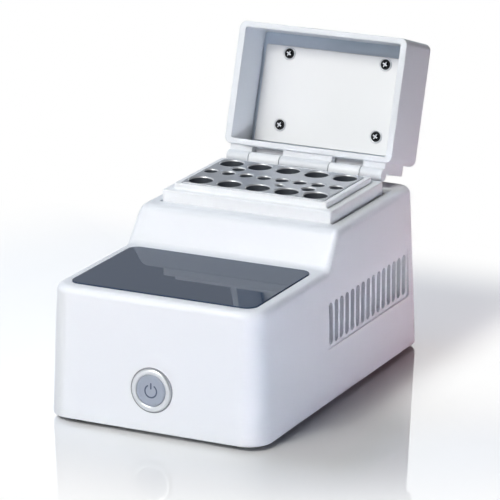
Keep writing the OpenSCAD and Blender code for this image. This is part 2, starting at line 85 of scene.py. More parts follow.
def colour(label, text, value):
    """A surface colour as an sRGB hex value."""
    return StringProperty(name=label, description=text, default=value, maxlen=7)


class HousingSettings(bpy.types.PropertyGroup):
    """Sizes and colour of the drafted two-level housing."""
    width: size("Width", "Width at the foot of the walls, in mm", 105.0)
    front_reach: size("Front reach", "Front wall to the middle of the block, in mm", 120.0)
    rear_reach: size("Rear reach", "Middle of the block to the rear wall, in mm", 51.0)
    front_deck: size("Front deck", "Height of the low deck, in mm", 61.2)
    rear_deck: size("Rear deck", "Height of the high deck, in mm", 76.6)
    corner: size("Corner radius", "Radius of the upright corners, in mm", 11.0)
    edge: size("Edge radius", "Rounding between decks and walls, in mm", 3.5)
    draft: size("Draft", "Inward lean of the walls, in degrees", 2.4)
    wall: size("Wall", "Wall thickness, in mm", 2.5)
    riser_start: size("Riser start", "Where the front deck starts to climb, in mm", -48.9, -100.0)
    riser_angle: size("Riser angle", "Steepness of the riser, in degrees", 53.0)
    shell: colour("Shell", "Colour of the moulded shell", "#E9ECF1")


class VentSettings(bpy.types.PropertyGroup):
    """Sizes of the slots in both side walls."""
    count: IntProperty(name="Slots", description="Slots on each side", default=15, min=1, max=15)
    pitch: size("Pitch", "Distance from slot to slot, in mm", 5.72)
    width: size("Slot width", "Width of one slot's mouth, in mm", 4.4)
    height: size("Slot height", "Height of one slot's mouth, in mm", 19.8)
    middle: size("Middle", "Height of the slots' middle, in mm", 37.1)
    row_y: size("Row place", "Middle of the row from the block's middle, in mm", -6.5, -100.0)


class DisplaySettings(bpy.types.PropertyGroup):
    """Sizes and colours of the glass and the power button."""
    glass_width: size("Glass width", "Width of the dark glass, in mm", 89.0)
    glass_depth: size("Glass depth", "Depth of the dark glass, in mm", 59.6)
    glass_y: size("Glass place", "Middle of the glass from the block's middle, in mm", -81.6, -200.0)
    glass_thick: size("Glass thickness", "Thickness of the glass, in mm", 1.2)
    glass_proud: size("Glass above deck", "How far the glass stands above the deck, in mm", 0.5)
    button_height: size("Button height", "Height of the power button, in mm", 20.9)
    cap_radius: size("Cap radius", "Radius of the button cap, in mm", 7.0)
    ring_radius: size("Ring radius", "Radius of the plated ring, in mm", 9.55)
    dish_radius: size("Dish radius", "Radius of the shallow dish in the cap, in mm", 5.7)
    dish_depth: size("Dish depth", "Depth of the shallow dish in the cap, in mm", 0.35)
    glass: colour("Glass", "Colour printed behind the glass", "#303D52")
    cap: colour("Cap", "Colour of the frosted cap", "#A1A9B8")
    ring: colour("Ring", "Colour of the plated ring", "#EBEDF0")
    # A rubber ring whose grey also paints in the shade round the plated ring's edge.
    shade_gasket: colour("Shade gasket", "Colour of the rubber ring behind the plated one", "#8E9097")
    ink: colour("Ink", "Colour of the power symbol", "#505A70")


class BlockSettings(bpy.types.PropertyGroup):
    """Sizes and colours of the block, its wells and the frame round it."""
    width: size("Width", "Length of the block along X, in mm", 70.6)
    depth: size("Depth", "Depth of the block along Y, in mm", 44.4)
    height: size("Height", "Height of the block, in mm", 37.0)
    large: size("Large well", "Radius of the wells for 1.5 ml tubes, in mm", 5.45)
    small: size("Small well", "Radius of the wells for 0.2 ml tubes, in mm", 3.05)
    large_pitch: size("Large pitch", "Distance between large wells, in mm", 14.3)
    strip_pitch: size("Strip pitch", "Distance between the strip's wells, in mm", 9.0)
    metal: colour("Metal", "Colour of the anodised aluminium", "#BFC3CA")
    frame: colour("Frame", "Colour of the frame's moulding", "#F3F5F8")
    # Painted shade: this darker colour fills the wells and the block's sides below the top.
    painted_bore_shade: colour("Painted bore shade", "Colour of the metal inside the wells", "#80868F")


class LidSettings(bpy.types.PropertyGroup):
    """Sizes and colours of the hinged lid."""
    width: size("Width", "Width of the lid, in mm", 85.0)
    depth: size("Depth", "Depth of the lid, in mm", 57.3)
    height: size("Height", "Height of the lid, in mm", 30.0)
    lean: size("Lean", "How far the open lid leans past upright, in degrees", 17.7)
    # A slightly darker copy of the housing's white: painted shade over the whole lid.
    shell: colour("Shell", "Colour of the lid's moulding", "#E6E9EE")
    liner: colour("Liner", "Colour of the panel behind the plate", "#CEDAE8")
    plate: colour("Plate", "Colour of the bright metal plate", "#DFE0E2")
    washers: colour("Washers", "Colour of the washers round the screws", "#D0D2D6")
    screws: colour("Screws", "Colour of the blackened screw heads", "#17181A")


class StageSettings(bpy.types.PropertyGroup):
    """Camera and floor."""
    azimuth: size("Azimuth", "Camera's turn to the right of the front, in degrees", 26.18, -180.0)
    elevation: size("Elevation", "Camera's height above the horizon, in degrees", 16.82, -90.0)
    distance: size("Distance", "Camera to its target, in mm", 1642.67, 0.0, 5000.0)
    target: FloatVectorProperty(name="Target", description="Point the camera looks at, in mm",
                                default=(-11.62, BLOCK_Y, 49.87), size=3)
    floor: colour("Floor", "Colour of the floor", "#E9EAEB")


# ---------------------------------------------------------------- surfaces

def rgb(code):
    """An sRGB hex value as linear red, green, blue and 1."""
    c = np.array([int(code[i:i + 2], 16) for i in (1, 3, 5)]) / 255
    return (*np.where(c <= 0.04045, c / 12.92, ((c + 0.055) / 1.055) ** 2.4), 1.0)


def grid_faces(rows, columns, close_rows=False):
    """Quads of a grid of rows by columns points. The last column joins the first, and with
    close_rows the last row joins the first too."""
    i = np.arange(rows if close_rows else rows - 1)[:, None]
    j = np.arange(columns)[None, :]
    up, side = (i + 1) % rows, (j + 1) % columns
    corners = (i * columns + j, i * columns + side, up * columns + side, up * columns + j)
    return np.stack(corners, -1).reshape(-1, 4).tolist()


def rounded_rectangles(half_w, half_d, radius, middle_x, middle_y, z, steps=10):
    """One rectangle with round corners for each row: quarter circles of the given radius round four
    centres, anticlockwise seen from above. Returns rows x points x 3."""
    turn = np.linspace(0, math.pi / 2, steps + 1)
    angle = (np.arange(4)[:, None] * math.pi / 2 + turn).ravel()[None, :]
    side_x = np.repeat([1, -1, -1, 1], steps + 1)[None, :]
    side_y = np.repeat([1, 1, -1, -1], steps + 1)[None, :]
    columns = (half_w, half_d, radius, middle_x, middle_y, z)
    half_w, half_d, radius, middle_x, middle_y, z = (
        np.atleast_1d(np.asarray(column, float))[:, None] for column in columns)
    x = middle_x + side_x * (half_w - radius) + radius * np.cos(angle)
    y = middle_y + side_y * (half_d - radius) + radius * np.sin(angle)
    return np.stack([x, y, np.broadcast_to(z, x.shape)], -1)


def arc(start, end, steps):
    """Cosines and sines of evenly spaced angles from start to end, in degrees."""
    angle = np.radians(np.linspace(start, end, steps + 1))
    return np.cos(angle), np.sin(angle)


def closed_stack(points, ring=False):
    """A stack of closed loops as a mesh: quads between neighbours, and either a flat face on the
    first and the last loop or, for a ring, quads from the last loop back to the first."""
    rows, columns = points.shape[:2]
    faces = grid_faces(rows, columns, ring)
    if not ring:
        faces += [list(range(columns))[::-1], list(range((rows - 1) * columns, rows * columns))]
    return points.reshape(-1, 3), faces


def stacked(profile, half_w, half_d, radius, middle=(0.0, 0.0), steps=10):
    """A profile carried round a rectangle with round corners, its two ends closed flat. Each profile
    point is (inset, z): the rectangle's half sizes and corner radius all lose the inset at that
    height. The profile runs up the outside."""
    inset, z = np.asarray(profile, float).T
    return closed_stack(rounded_rectangles(half_w - inset, half_d - inset, np.maximum(radius - inset, 0.05),
                                           middle[0], middle[1], z, steps))


def flared(half_w, half_d, radius, middle, z_low, z_face, z_high, flare, steps=8):
    """A rounded rectangular cutter with a mouth that opens as a quarter circle, which leaves a
    rounded edge where it meets the face."""
    c, s = arc(0, 90, 5)
    mouth = np.column_stack([-flare * (1 - c), z_face + OVERCUT - flare * (1 - s)])
    profile = np.concatenate([[[0, z_low]], mouth, [[-flare, z_high]]])
    return stacked(profile, half_w, half_d, radius, middle, steps)


def revolved_loops(profile, segments):
    """A profile of (radius, height) turned about the Z axis. Returns rows x points x 3."""
    profile = np.asarray(profile, float)
    angle = np.linspace(0, 2 * math.pi, segments, endpoint=False)[None, :]
    radius, height = profile[:, :1], profile[:, 1:2]
    return np.stack([radius * np.cos(angle), radius * np.sin(angle),
                     np.broadcast_to(height, (len(profile), segments))], -1)


def revolved(profile, segments=64):
    """A revolved surface as a part. The profile runs up the outside. A radius of 0 is a pole, closed
    when equal points are merged; a profile that ends where it starts makes a closed ring."""
    points = revolved_loops(profile, segments)
    ring = bool(profile[0][0] > 0 and np.allclose(profile[0], profile[-1]))
    if ring:
        points = points[:-1]
    return points.reshape(-1, 3), grid_faces(len(points), segments, ring)


def round_cutter(radius, low, high, segments):
    """A closed cylinder along Z."""
    return closed_stack(revolved_loops([(radius, low), (radius, high)], segments))


def extruded(outline, x0, x1):
    """A flat outline of (y, z) points, anticlockwise seen from +X, carried along X from x0 to x1."""
    outline = np.asarray(outline, float)
    return closed_stack(np.stack([np.column_stack([np.full(len(outline), x), outline]) for x in (x0, x1)]))


def swept(path, normal, half_side, half_normal, sides=12, end_steps=4):
    """A flat oval section carried along a path: at each path point the section is
    side * half_side * cos + normal * half_normal * sin, and it shrinks as a circle does at both ends."""
    path, normal = np.asarray(path, float), np.asarray(normal, float)
    tangent = np.gradient(path, axis=0)
    tangent /= np.linalg.norm(tangent, axis=1, keepdims=True)
    side = np.cross(normal, tangent)
    c, s = arc(90, 0, end_steps)
    grow = np.concatenate([c[:-1], np.ones(len(path)), c[:-1][::-1]])[:, None, None]
    along = np.concatenate([-(half_side * s[:-1]), np.zeros(len(path)), (half_side * s[:-1])[::-1]])
    last = len(path) - 1
    index = np.concatenate([np.zeros(end_steps, int), np.arange(last + 1), np.full(end_steps, last)])
    centre = path[index] + tangent[index] * along[:, None]
    angle = np.linspace(0, 2 * math.pi, sides, endpoint=False)[None, :, None]
    points = (centre[:, None] + side[index][:, None] * half_side * np.cos(angle) * grow
              + normal[index][:, None] * half_normal * np.sin(angle) * grow)
    return points.reshape(-1, 3), grid_faces(len(points), sides)


def edge_round(inset, z, radius, start, end, steps=5):
    """Profile points of a rounded edge whose centre is at (inset, z); angles in degrees, where 0 points
    outwards and 90 up."""
    c, s = arc(start, end, steps)
    return np.column_stack([inset - radius * c, z + radius * s])


def moved(part, offset):
    """A part shifted by an offset."""
    points, faces = part
    return np.asarray(points, float) + np.asarray(offset, float), faces


def turned_x(part, degrees):
    """A part turned about the X axis by the right-hand rule."""
    points, faces = part
    c, s = math.cos(math.radians(degrees)), math.sin(math.radians(degrees))
    x, y, z = np.asarray(points, float).T
    return np.column_stack([x, c * y - s * z, s * y + c * z]), faces


def turned_z(part, degrees):
    """A part turned about the Z axis by the right-hand rule."""
    points, faces = part
    c, s = math.cos(math.radians(degrees)), math.sin(math.radians(degrees))
    x, y, z = np.asarray(points, float).T
    return np.column_stack([c * x - s * y, s * x + c * y, z]), faces


def mirrored(part, signs):
    """A part with one axis reversed, as the signs of X, Y and Z say, its faces turned to point
    outwards again."""
    points, faces = part
    return np.asarray(points, float) * signs, [list(face)[::-1] for face in faces]


def joined(parts):
    """Several parts as one."""
    points, faces, start = [], [], 0
    for part_points, part_faces in parts:
        points.append(np.asarray(part_points, float))
        faces += [[corner + start for corner in face] for face in part_faces]
        start += len(part_points)
    return np.concatenate(points), faces


# ---------------------------------------------------------------- objects

def new_object(name, part):
    """An object in the heater's frame from a part: points in millimetres from the block's middle, and
    faces. Equal points are merged and the faces are made to point outwards."""
    points, faces = part
    points = (np.asarray(points, float) + (0, BLOCK_Y, 0)) * MM
    mesh = bpy.data.meshes.new(name)
    mesh.from_pydata(points.tolist(), [], faces)
    work = bmesh.new()
    work.from_mesh(mesh)
    bmesh.ops.remove_doubles(work, verts=work.verts, dist=1e-7)
    bmesh.ops.dissolve_degenerate(work, edges=work.edges, dist=1e-7)
    bmesh.ops.recalc_face_normals(work, faces=work.faces)
    work.to_mesh(mesh)
    work.free()
    thing = bpy.data.objects.new(name, mesh)
    bpy.context.scene.collection.objects.link(thing)
    return thing


def baked(thing):
    """Applies every modifier of a new piece."""
    graph = bpy.context.evaluated_depsgraph_get()
    mesh = bpy.data.meshes.new_from_object(thing.evaluated_get(graph), depsgraph=graph)
    thing.modifiers.clear()
    old, thing.data = thing.data, mesh
    mesh.name = thing.name
    bpy.data.meshes.remove(old)


def cut(thing, parts):
    """Takes closed parts that don't touch one another out of a closed piece."""
    tool = new_object("cutter", joined(parts))
    step = thing.modifiers.new("cut", "BOOLEAN")
    step.object, step.operation, step.solver = tool, "DIFFERENCE", "MANIFOLD"
    baked(thing)
    old = tool.data
    bpy.data.objects.remove(tool)
    bpy.data.meshes.remove(old)


def piece(thing, material, body, slot, replaces=(), smooth=35.0, bevel=None):
    """Finishes a new piece: rounded edges, smooth shading up to an angle, material and body. The slot is not
    used.
    """
    if bevel:
        step = thing.modifiers.new("edges", "BEVEL")
        step.width, step.segments = bevel * MM, 3
        step.limit_method, step.angle_limit = "ANGLE", math.radians(40)
        baked(thing)
    mesh = thing.data
    mesh.polygons.foreach_set("use_smooth", np.ones(len(mesh.polygons), bool))
    mesh.set_sharp_from_angle(angle=math.radians(smooth))
    step = thing.modifiers.new("normals", "WEIGHTED_NORMAL")
    step.keep_sharp = True
    baked(thing)
    thing.data.materials.clear()
    thing.data.materials.append(material)
    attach(thing, body)
    if replaces:
        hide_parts(*replaces)


def dress(node, material):
    """Gives a CAD node its material."""
    slots = frame["nodes"][node].data.materials
    slots.clear()
    slots.append(material)


# ---------------------------------------------------------------- materials

MIX_A, MIX_B, MIX_RESULT = 6, 7, 2     # a Mix node's two colour sockets, and its colour output
MULTIPLY, LARGER = {"operation": "MULTIPLY"}, {"operation": "MAXIMUM"}


def add_node(tree, kind, settings=None, inputs=None):
    """Adds one node. Settings are its own values, inputs its sockets' values or where they come from."""
    node = tree.nodes.new(kind)
    for key, value in (settings or {}).items():
        setattr(node, key, value)
    for key, value in (inputs or {}).items():
        if isinstance(value, bpy.types.NodeSocket):
            tree.links.new(value, node.inputs[key])
        else:
            node.inputs[key].default_value = value
    return node


def new_material(name, code, inputs, **pattern):
    """A material of one Principled shader: the inputs are constants on the shader's own sockets, and
    grain draws the pattern over the colour. A name that is there already keeps its material."""
    material = bpy.data.materials.get(name)
    if not material:
        material = bpy.data.materials.new(name)
        material.use_nodes = True
        tree = material.node_tree
        tree.nodes.clear()
        shader = add_node(tree, "ShaderNodeBsdfPrincipled", inputs=inputs)
        add_node(tree, "ShaderNodeOutputMaterial", inputs={"Surface": shader.outputs["BSDF"]})
        grain(tree, shader, code, **pattern)
    return material


def grain(tree, shader, code, period, depth, tint, broad, roughness, detail=3.0, stretch=(1, 1, 1)):
    """Fine noise as bump, and as roughness between two values, with the given period and depth in mm,
    and a noise of the broad period that varies the colour by the share tint."""
    place = add_node(tree, "ShaderNodeTexCoord").outputs["Object"]
    scaled = add_node(tree, "ShaderNodeMapping", inputs={"Vector": place, "Scale": stretch}).outputs["Vector"]
    fine = add_node(tree, "ShaderNodeTexNoise", inputs={
        "Vector": scaled, "Scale": 1 / (period * MM), "Detail": detail, "Roughness": 0.55}).outputs["Fac"]
    wide = add_node(tree, "ShaderNodeTexNoise", inputs={
        "Vector": place, "Scale": 1 / (broad * MM), "Detail": 2.0}).outputs["Fac"]
    base = np.array(rgb(code)[:3])
    shade = add_node(tree, "ShaderNodeMix", {"data_type": "RGBA"}, {
        0: wide, MIX_A: (*(base * (1 - tint)), 1), MIX_B: (*np.minimum(base * (1 + tint), 1), 1)})
    rough = add_node(tree, "ShaderNodeMapRange", inputs={
        "Value": fine, "From Min": 0.3, "From Max": 0.7, "To Min": roughness[0], "To Max": roughness[1]})
    bump = add_node(tree, "ShaderNodeBump", inputs={"Height": fine, "Distance": depth * MM, "Strength": 1.0})
    tree.links.new(shade.outputs[MIX_RESULT], shader.inputs["Base Color"])
    tree.links.new(rough.outputs["Result"], shader.inputs["Roughness"])
    tree.links.new(bump.outputs["Normal"], shader.inputs["Normal"])


def paint_light_and_shade_below(material, bands):
    """Paints bands of light and shade into a material's colour below the block's top. Each band is
    (start, full, colour), in mm below the top: from start to full its colour takes over from the one above."""
    tree = material.node_tree
    shader = next(node for node in tree.nodes if node.type == "BSDF_PRINCIPLED")
    place = add_node(tree, "ShaderNodeTexCoord").outputs["Object"]
    height = add_node(tree, "ShaderNodeSeparateXYZ", inputs={0: place}).outputs["Z"]
    tone = shader.inputs["Base Color"].links[0].from_socket
    for start, full, code in bands:
        above = add_node(tree, "ShaderNodeMapRange", inputs={
            "Value": height, "From Min": (BLOCK_TOP - full) * MM, "From Max": (BLOCK_TOP - start) * MM})
        tone = add_node(tree, "ShaderNodeMix", {"data_type": "RGBA"}, {
            0: above.outputs["Result"], MIX_A: rgb(code), MIX_B: tone}).outputs[MIX_RESULT]
    tree.links.new(tone, shader.inputs["Base Color"])


def moulded_abs(name, code, roughness=(0.30, 0.36)):
    """ABS, injection moulded in a lightly textured tool: an even pale skin with a soft sheen,
    and a grain of about 1 mm that only breaks up reflections."""
    return new_material(name, code, {"IOR": 1.54}, period=1.2, depth=0.004, tint=0.008, broad=60.0,
                        roughness=roughness)


def anodised_aluminium(name, code, painted_bore_shade):
    """Aluminium, bead blasted and clear anodised on top: a satin grey metal with a faint grain. Its colour
    holds painted light: a painted highlight on the chamfers at the wells' mouths and on the top's rounded
    edge, and painted shade below them, in the wells and on the block's sides. Its oxide skin scatters
    light, so it is only part metallic. Bead marks are about 0.1 mm; drawn at 0.5 mm so that they show."""
    material = new_material(name, code, {"Metallic": 0.75}, period=0.5, depth=0.006, tint=0.05, broad=18.0,
                            roughness=(0.34, 0.42))
    # Painted highlight from 0.05 mm below the top, painted shade from 0.75 mm below it downwards.
    paint_light_and_shade_below(material, ((0.02, 0.05, "#E6E8EC"), (0.45, 0.75, painted_bore_shade)))
    return material


def brushed_aluminium(name, code):
    """Aluminium sheet, brushed along X and left bright: long fine scratches that soften what it
    mirrors. It is only half metallic, so that it stays pale where nothing bright stands before it.
    Scratches are about 0.05 mm; drawn at 0.35 mm so that they show."""
    return new_material(name, code, {"Metallic": 0.5}, period=0.35, depth=0.0003, tint=0.01, broad=30.0,
                        roughness=(0.38, 0.42), detail=2.0, stretch=(0.03, 1, 1))


def back_printed_glass(name, code):
    """Cover glass with a dark ink printed on its rear: a deep blue grey under a polished front, whose
    coating mirrors what stands behind it in a cool tone."""
    return new_material(name, code, {"IOR": 1.38, "Specular Tint": rgb("#AADAFF")}, period=30.0, depth=0.0005,
                        tint=0.03, broad=60.0, roughness=(0.015, 0.03))


def satin_plating(name, code):
    """Chrome or nickel, plated to a satin finish: a bright metal with softened reflections."""
    return new_material(name, code, {"Metallic": 1.0}, period=0.8, depth=0.002, tint=0.02, broad=8.0,
                        roughness=(0.34, 0.4))


def frosted_cap(name, code):
    """Polycarbonate button cap, frosted and tinted: light enters it a little, so that its edge glows
    and its face stays soft."""
    return new_material(name, code, {"IOR": 1.58, "Subsurface Weight": 0.25,
                                     "Subsurface Radius": (0.002, 0.002, 0.0025)},
                        period=0.6, depth=0.003, tint=0.03, broad=6.0, roughness=(0.28, 0.36))


def dull_elastomer(name, code):
    """Rubber, moulded, or soft foam: a dull skin without a highlight that takes a little dust."""
    return new_material(name, code, {"IOR": 1.5}, period=0.9, depth=0.02, tint=0.15, broad=9.0,
                        roughness=(0.7, 0.85))


def blackened_steel(name, code):
    """Steel, black oxide finish: a near black metal with dull highlights."""
    return new_material(name, code, {"Metallic": 1.0}, period=0.6, depth=0.002, tint=0.05, broad=5.0,
                        roughness=(0.35, 0.45))


def plated_steel(name, code):
    """Steel, nickel plated: a mid grey metal with tight highlights."""
    return new_material(name, code, {"Metallic": 1.0}, period=0.6, depth=0.002, tint=0.05, broad=5.0,
                        roughness=(0.2, 0.3))


def plain_plastic(name, code, roughness=(0.4, 0.5), period=0.8, depth=0.01):
    """Nylon, ink, film or laminate with a fine grain: an even colour with a soft, broad highlight."""
    return new_material(name, code, {"IOR": 1.53}, period=period, depth=depth, tint=0.06, broad=12.0,
                        roughness=roughness)


def gloss_acrylic(name, code):
    """Acrylic sheet, polished: a pale floor that mirrors the heater and holds its shadow. To the
    camera, and a quarter as much in mirrors, it turns into the white surroundings in three places:
    outside a circle, behind the heater, and to the right of its rear half. Places are in mm."""
    material = bpy.data.materials.new(name)
    material.use_nodes = True
    tree = material.node_tree
    tree.nodes.clear()
    sheet = add_node(tree, "ShaderNodeBsdfPrincipled", inputs={
        "Base Color": rgb(code), "Roughness": 0.02, "IOR": 1.8}).outputs["BSDF"]
    glow = add_node(tree, "ShaderNodeEmission", inputs={
        "Color": rgb("#FFFFFF"), "Strength": 1.0}).outputs["Emission"]
    path = add_node(tree, "ShaderNodeLightPath").outputs
    mirror = add_node(tree, "ShaderNodeMath", MULTIPLY, {0: path["Is Glossy Ray"], 1: 0.25}).outputs["Value"]
    seen = add_node(tree, "ShaderNodeMath", LARGER, {0: path["Is Camera Ray"], 1: mirror}).outputs["Value"]
    place = add_node(tree, "ShaderNodeTexCoord").outputs["Object"]
    axes = add_node(tree, "ShaderNodeSeparateXYZ", inputs={0: place}).outputs
    offset = add_node(tree, "ShaderNodeVectorMath", {"operation": "SUBTRACT"}, {
        0: place, 1: (0.0, 60 * MM, 0.0)}).outputs["Vector"]
    distance = add_node(tree, "ShaderNodeVectorMath", {"operation": "LENGTH"}, {0: offset}).outputs["Value"]
    outside, behind, right, along = (
        add_node(tree, "ShaderNodeMapRange", {"interpolation_type": "SMOOTHSTEP"}, {
            "Value": value, "From Min": start * MM, "From Max": end * MM}).outputs["Result"]
        for value, start, end in ((distance, 160, 270), (axes["Y"], 140, 210),
                                  (axes["X"], 62, 95), (axes["Y"], -50, 40)))
    beside = add_node(tree, "ShaderNodeMath", MULTIPLY, {0: right, 1: along}).outputs["Value"]
    edges = add_node(tree, "ShaderNodeMath", LARGER, {0: beside, 1: behind}).outputs["Value"]
    faded = add_node(tree, "ShaderNodeMath", LARGER, {0: outside, 1: edges}).outputs["Value"]
    share = add_node(tree, "ShaderNodeMath", MULTIPLY, {0: faded, 1: seen}).outputs["Value"]
    mixed = add_node(tree, "ShaderNodeMixShader", inputs={0: share, 1: sheet, 2: glow})
    add_node(tree, "ShaderNodeOutputMaterial", inputs={"Surface": mixed.outputs["Shader"]})
    return material


# ---------------------------------------------------------------- operators

class HEATER_OT_housing(bpy.types.Operator):
    """Moulded housing with its decks, riser, vents and openings"""
    bl_idname = "heater.housing"
    bl_label = "Housing"

    def execute(self, context):
        scene = context.scene
        housing, vents, display = scene.heater_housing, scene.heater_vents, scene.heater_display
        cover = new_object("housing_cover", housing_shell(housing))
        button_hole = round_cutter(radius=8.5, low=-10.0, high=10.0, segments=64)
        inlet_seat = round_cutter(radius=8.0, low=0.0, high=10.0, segments=48)
        inlet_hole = round_cutter(radius=5.6, low=-8.0, high=10.0, segments=48)
        cut(cover, [deck_opening(housing), glass_seat(housing, display), *vent_slots(housing, vents),
                    at_button(housing, display, button_hole), at_inlet(housing, inlet_seat)])
        cut(cover, [*vent_recesses(housing), display_window(housing, display), at_inlet(housing, inlet_hole)])
        piece(cover, moulded_abs("Moulded white ABS", housing.shell), "base", "white_abs", ("housing",),
              smooth=30.0)
        return {"FINISHED"}


def riser_places(housing):
    """Where the straight slope of the riser starts and ends, and where the rear deck starts."""
    angle = math.radians(housing.riser_angle)
    arcs_rise = (RISER_FOOT + RISER_HEAD) * (1 - math.cos(angle))
    length = (housing.rear_deck - housing.front_deck - arcs_rise) / math.sin(angle)
    slope_start = housing.riser_start + RISER_FOOT * math.sin(angle)
    slope_end = slope_start + length * math.cos(angle)
    return slope_start, slope_end, slope_end + RISER_HEAD * math.sin(angle)


def top_height(housing, y):
    """Height of the top surface at y: flat, an arc that starts the climb, a straight slope,
    an arc that ends it, flat."""
    angle = math.radians(housing.riser_angle)
    start, low, high = housing.riser_start, housing.front_deck, housing.rear_deck
    slope_start, slope_end, deck_start = riser_places(housing)
    slope_low = low + RISER_FOOT * (1 - math.cos(angle))
    return np.select(
        [y <= start, y <= slope_start, y <= slope_end, y < deck_start],
        [np.full_like(y, low),
         low + RISER_FOOT - np.sqrt(np.maximum(RISER_FOOT ** 2 - (y - start) ** 2, 0)),
         slope_low + (y - slope_start) * math.tan(angle),
         high - RISER_HEAD + np.sqrt(np.maximum(RISER_HEAD ** 2 - (deck_start - y) ** 2, 0))],
        np.full_like(y, high))


def housing_half(housing, inset, steps=14, arcs=12):
    """Right half of the footprint from the front round to the rear: a quarter circle, stations along
    the side that gather on the riser's two arcs, a quarter circle; all drawn in by inset, a function
    of the place along Y. Returns x, y and the top's height of each point."""
    turn = math.radians(housing.riser_angle) * np.arange(arcs + 1) / arcs
    deck_start = riser_places(housing)[2]
    side = np.concatenate([housing.riser_start + RISER_FOOT * np.sin(turn),
                           deck_start - RISER_HEAD * np.sin(turn[::-1])])
    quarter = np.linspace(0, math.pi / 2, steps + 1)
    corner_x = housing.width / 2 - housing.corner
    front_y, rear_y = housing.corner - housing.front_reach, housing.rear_reach - housing.corner
    place = np.concatenate([np.full(steps + 1, -housing.front_reach), side,
                            np.full(steps + 1, housing.rear_reach)])
    draw_in = inset(place)
    radius = housing.corner - draw_in
    kind = np.repeat([0, 1, 2], [steps + 1, len(side), steps + 1])
    turn = np.concatenate([quarter - math.pi / 2, np.zeros(len(side)), quarter])
    x = np.where(kind == 1, housing.width / 2 - draw_in, corner_x + radius * np.cos(turn))
    y = np.select([kind == 0, kind == 2],
                  [front_y + radius * np.sin(turn), rear_y + radius * np.sin(turn)], place)
    return x, y, top_height(housing, place)


def housing_shell(housing):
    """Closed shell: rings up the inside and the outside of the wall. On each ring the inset grows
    with height by the draft, and near the top it follows the rounded edge; the two top surfaces are
    ruled across from the right half to the left."""
    tilt = math.radians(housing.draft)

    def loop(inset, height):
        """A ring whose inset is a function of the place along Y, and height one of the top's height."""
        x, y, top = housing_half(housing, inset)
        z = height(top)
        return np.stack([np.concatenate([x, -x[::-1]]), np.concatenate([y, y[::-1]]),
                         np.concatenate([z, z[::-1]])], -1)

    def level_loop(inset, z):
        """A ring of one inset and one height all round."""
        return loop(lambda place: np.full_like(place, inset), lambda top: np.full_like(top, z))

    def edge_loop(skin, radius, angle):
        """One ring of the rounded edge of a surface that lies skin inside the outer one: its centre is
        one radius below the top, and the wall leans in as far as that."""
        def inset(place):
            centre_z = top_height(housing, place) - skin - radius
            wall = skin + (centre_z + radius * math.sin(tilt) - FOOT_Z) * math.tan(tilt)
            return wall + radius * (math.cos(tilt) - math.cos(angle))
        return loop(inset, lambda top: top - skin - radius * (1 - math.sin(angle)))

    foot_radius, inner_edge = 0.6, 1.0
    inner = [level_loop(housing.wall, FOOT_Z)]
    inner += [edge_loop(housing.wall, inner_edge, angle) for angle in np.linspace(tilt, math.pi / 2, 4)]
    outer = [level_loop(foot_radius * (1 - math.cos(angle)), FOOT_Z + foot_radius * (1 - math.sin(angle)))
             for angle in np.radians([90, 67, 45, 22, 0])]
    outer += [edge_loop(0.0, housing.edge, angle) for angle in np.linspace(tilt, math.pi / 2, 13)]
    points = np.stack(inner[::-1] + outer)
    rows, columns = points.shape[:2]
    i = np.arange(columns // 2 - 1)
    ruled = np.stack([i, i + 1, columns - 2 - i, columns - 1 - i], -1)
    faces = grid_faces(rows, columns) + ruled[:, ::-1].tolist() + (ruled + (rows - 1) * columns).tolist()
    return points.reshape(-1, 3), faces


def deck_opening(housing):
    """Opening in the rear deck under the block's frame."""
    return flared(half_w=42.9, half_d=32.1, radius=0.8, middle=(0.0, 3.8), z_low=60.0,
                  z_face=housing.rear_deck, z_high=84.0, flare=0.5)


def glass_seat(housing, display):
    """Seat for the glass in the front deck, 0.2 mm larger than the glass all round."""
    gap, low = 0.2, housing.front_deck + display.glass_proud - display.glass_thick
    return flared(half_w=display.glass_width / 2 + gap, half_d=display.glass_depth / 2 + gap, radius=5.2,
                  middle=(0.0, display.glass_y), z_low=low, z_face=housing.front_deck, z_high=66.0, flare=0.2)


def display_window(housing, display):
    """Window under the glass, where the display's module looks out."""
    low, high = 50.0, housing.front_deck - 0.5
    return stacked([(0, low), (0, high)], half_w=37.5, half_d=23.5, radius=1.0, middle=(0.0, display.glass_y))


def at_button(housing, display, part):
    """A part drawn on the button's axis, which stands square to the drafted front wall."""
    face_y = -housing.front_reach + (display.button_height - FOOT_Z) * math.tan(math.radians(housing.draft))
    return moved(turned_x(part, 90 - housing.draft), (0, face_y, display.button_height))


def at_inlet(housing, part):
    """A part drawn on the power inlet's axis, whose height 0 is the floor of the inlet's seat."""
    inlet_x, inlet_z, seat_depth = 30.0, 20.0, 2.0
    return moved(turned_x(part, -90), (inlet_x, housing.rear_reach - seat_depth, inlet_z))


def facing_right(part):
    """A cutter drawn with its mouth up, turned about the Y axis so that the mouth faces +X."""
    points, faces = part
    x, y, z = points.T
    return np.column_stack([z, y, -x]), faces


def vent_slots(housing, vents):
    """Round-ended slots through both side walls, their mouths rounded where they meet the recess
    floor. The floor turns out towards the front, and each slot follows it to within 0.01 mm."""
    flare, straight_y = 0.3, 36.4
    half_h, half_w = vents.height / 2 - flare, vents.width / 2 - flare
    slot = facing_right(flared(half_h, half_w, radius=half_w - 0.01, middle=(0.0, 0.0), z_low=-9.0,
                               z_face=0.0, z_high=6.0, flare=flare, steps=6))
    parts = []
    for y in (np.arange(vents.count) - (vents.count - 1) / 2) * vents.pitch + vents.row_y:
        x = housing.width / 2 - RECESS_IN + (straight_y - y) * math.sin(math.radians(RECESS_TURN))
        part = moved(slot, (x, y, vents.middle))
        parts += [part, mirrored(part, (-1, 1, 1))]
    return parts


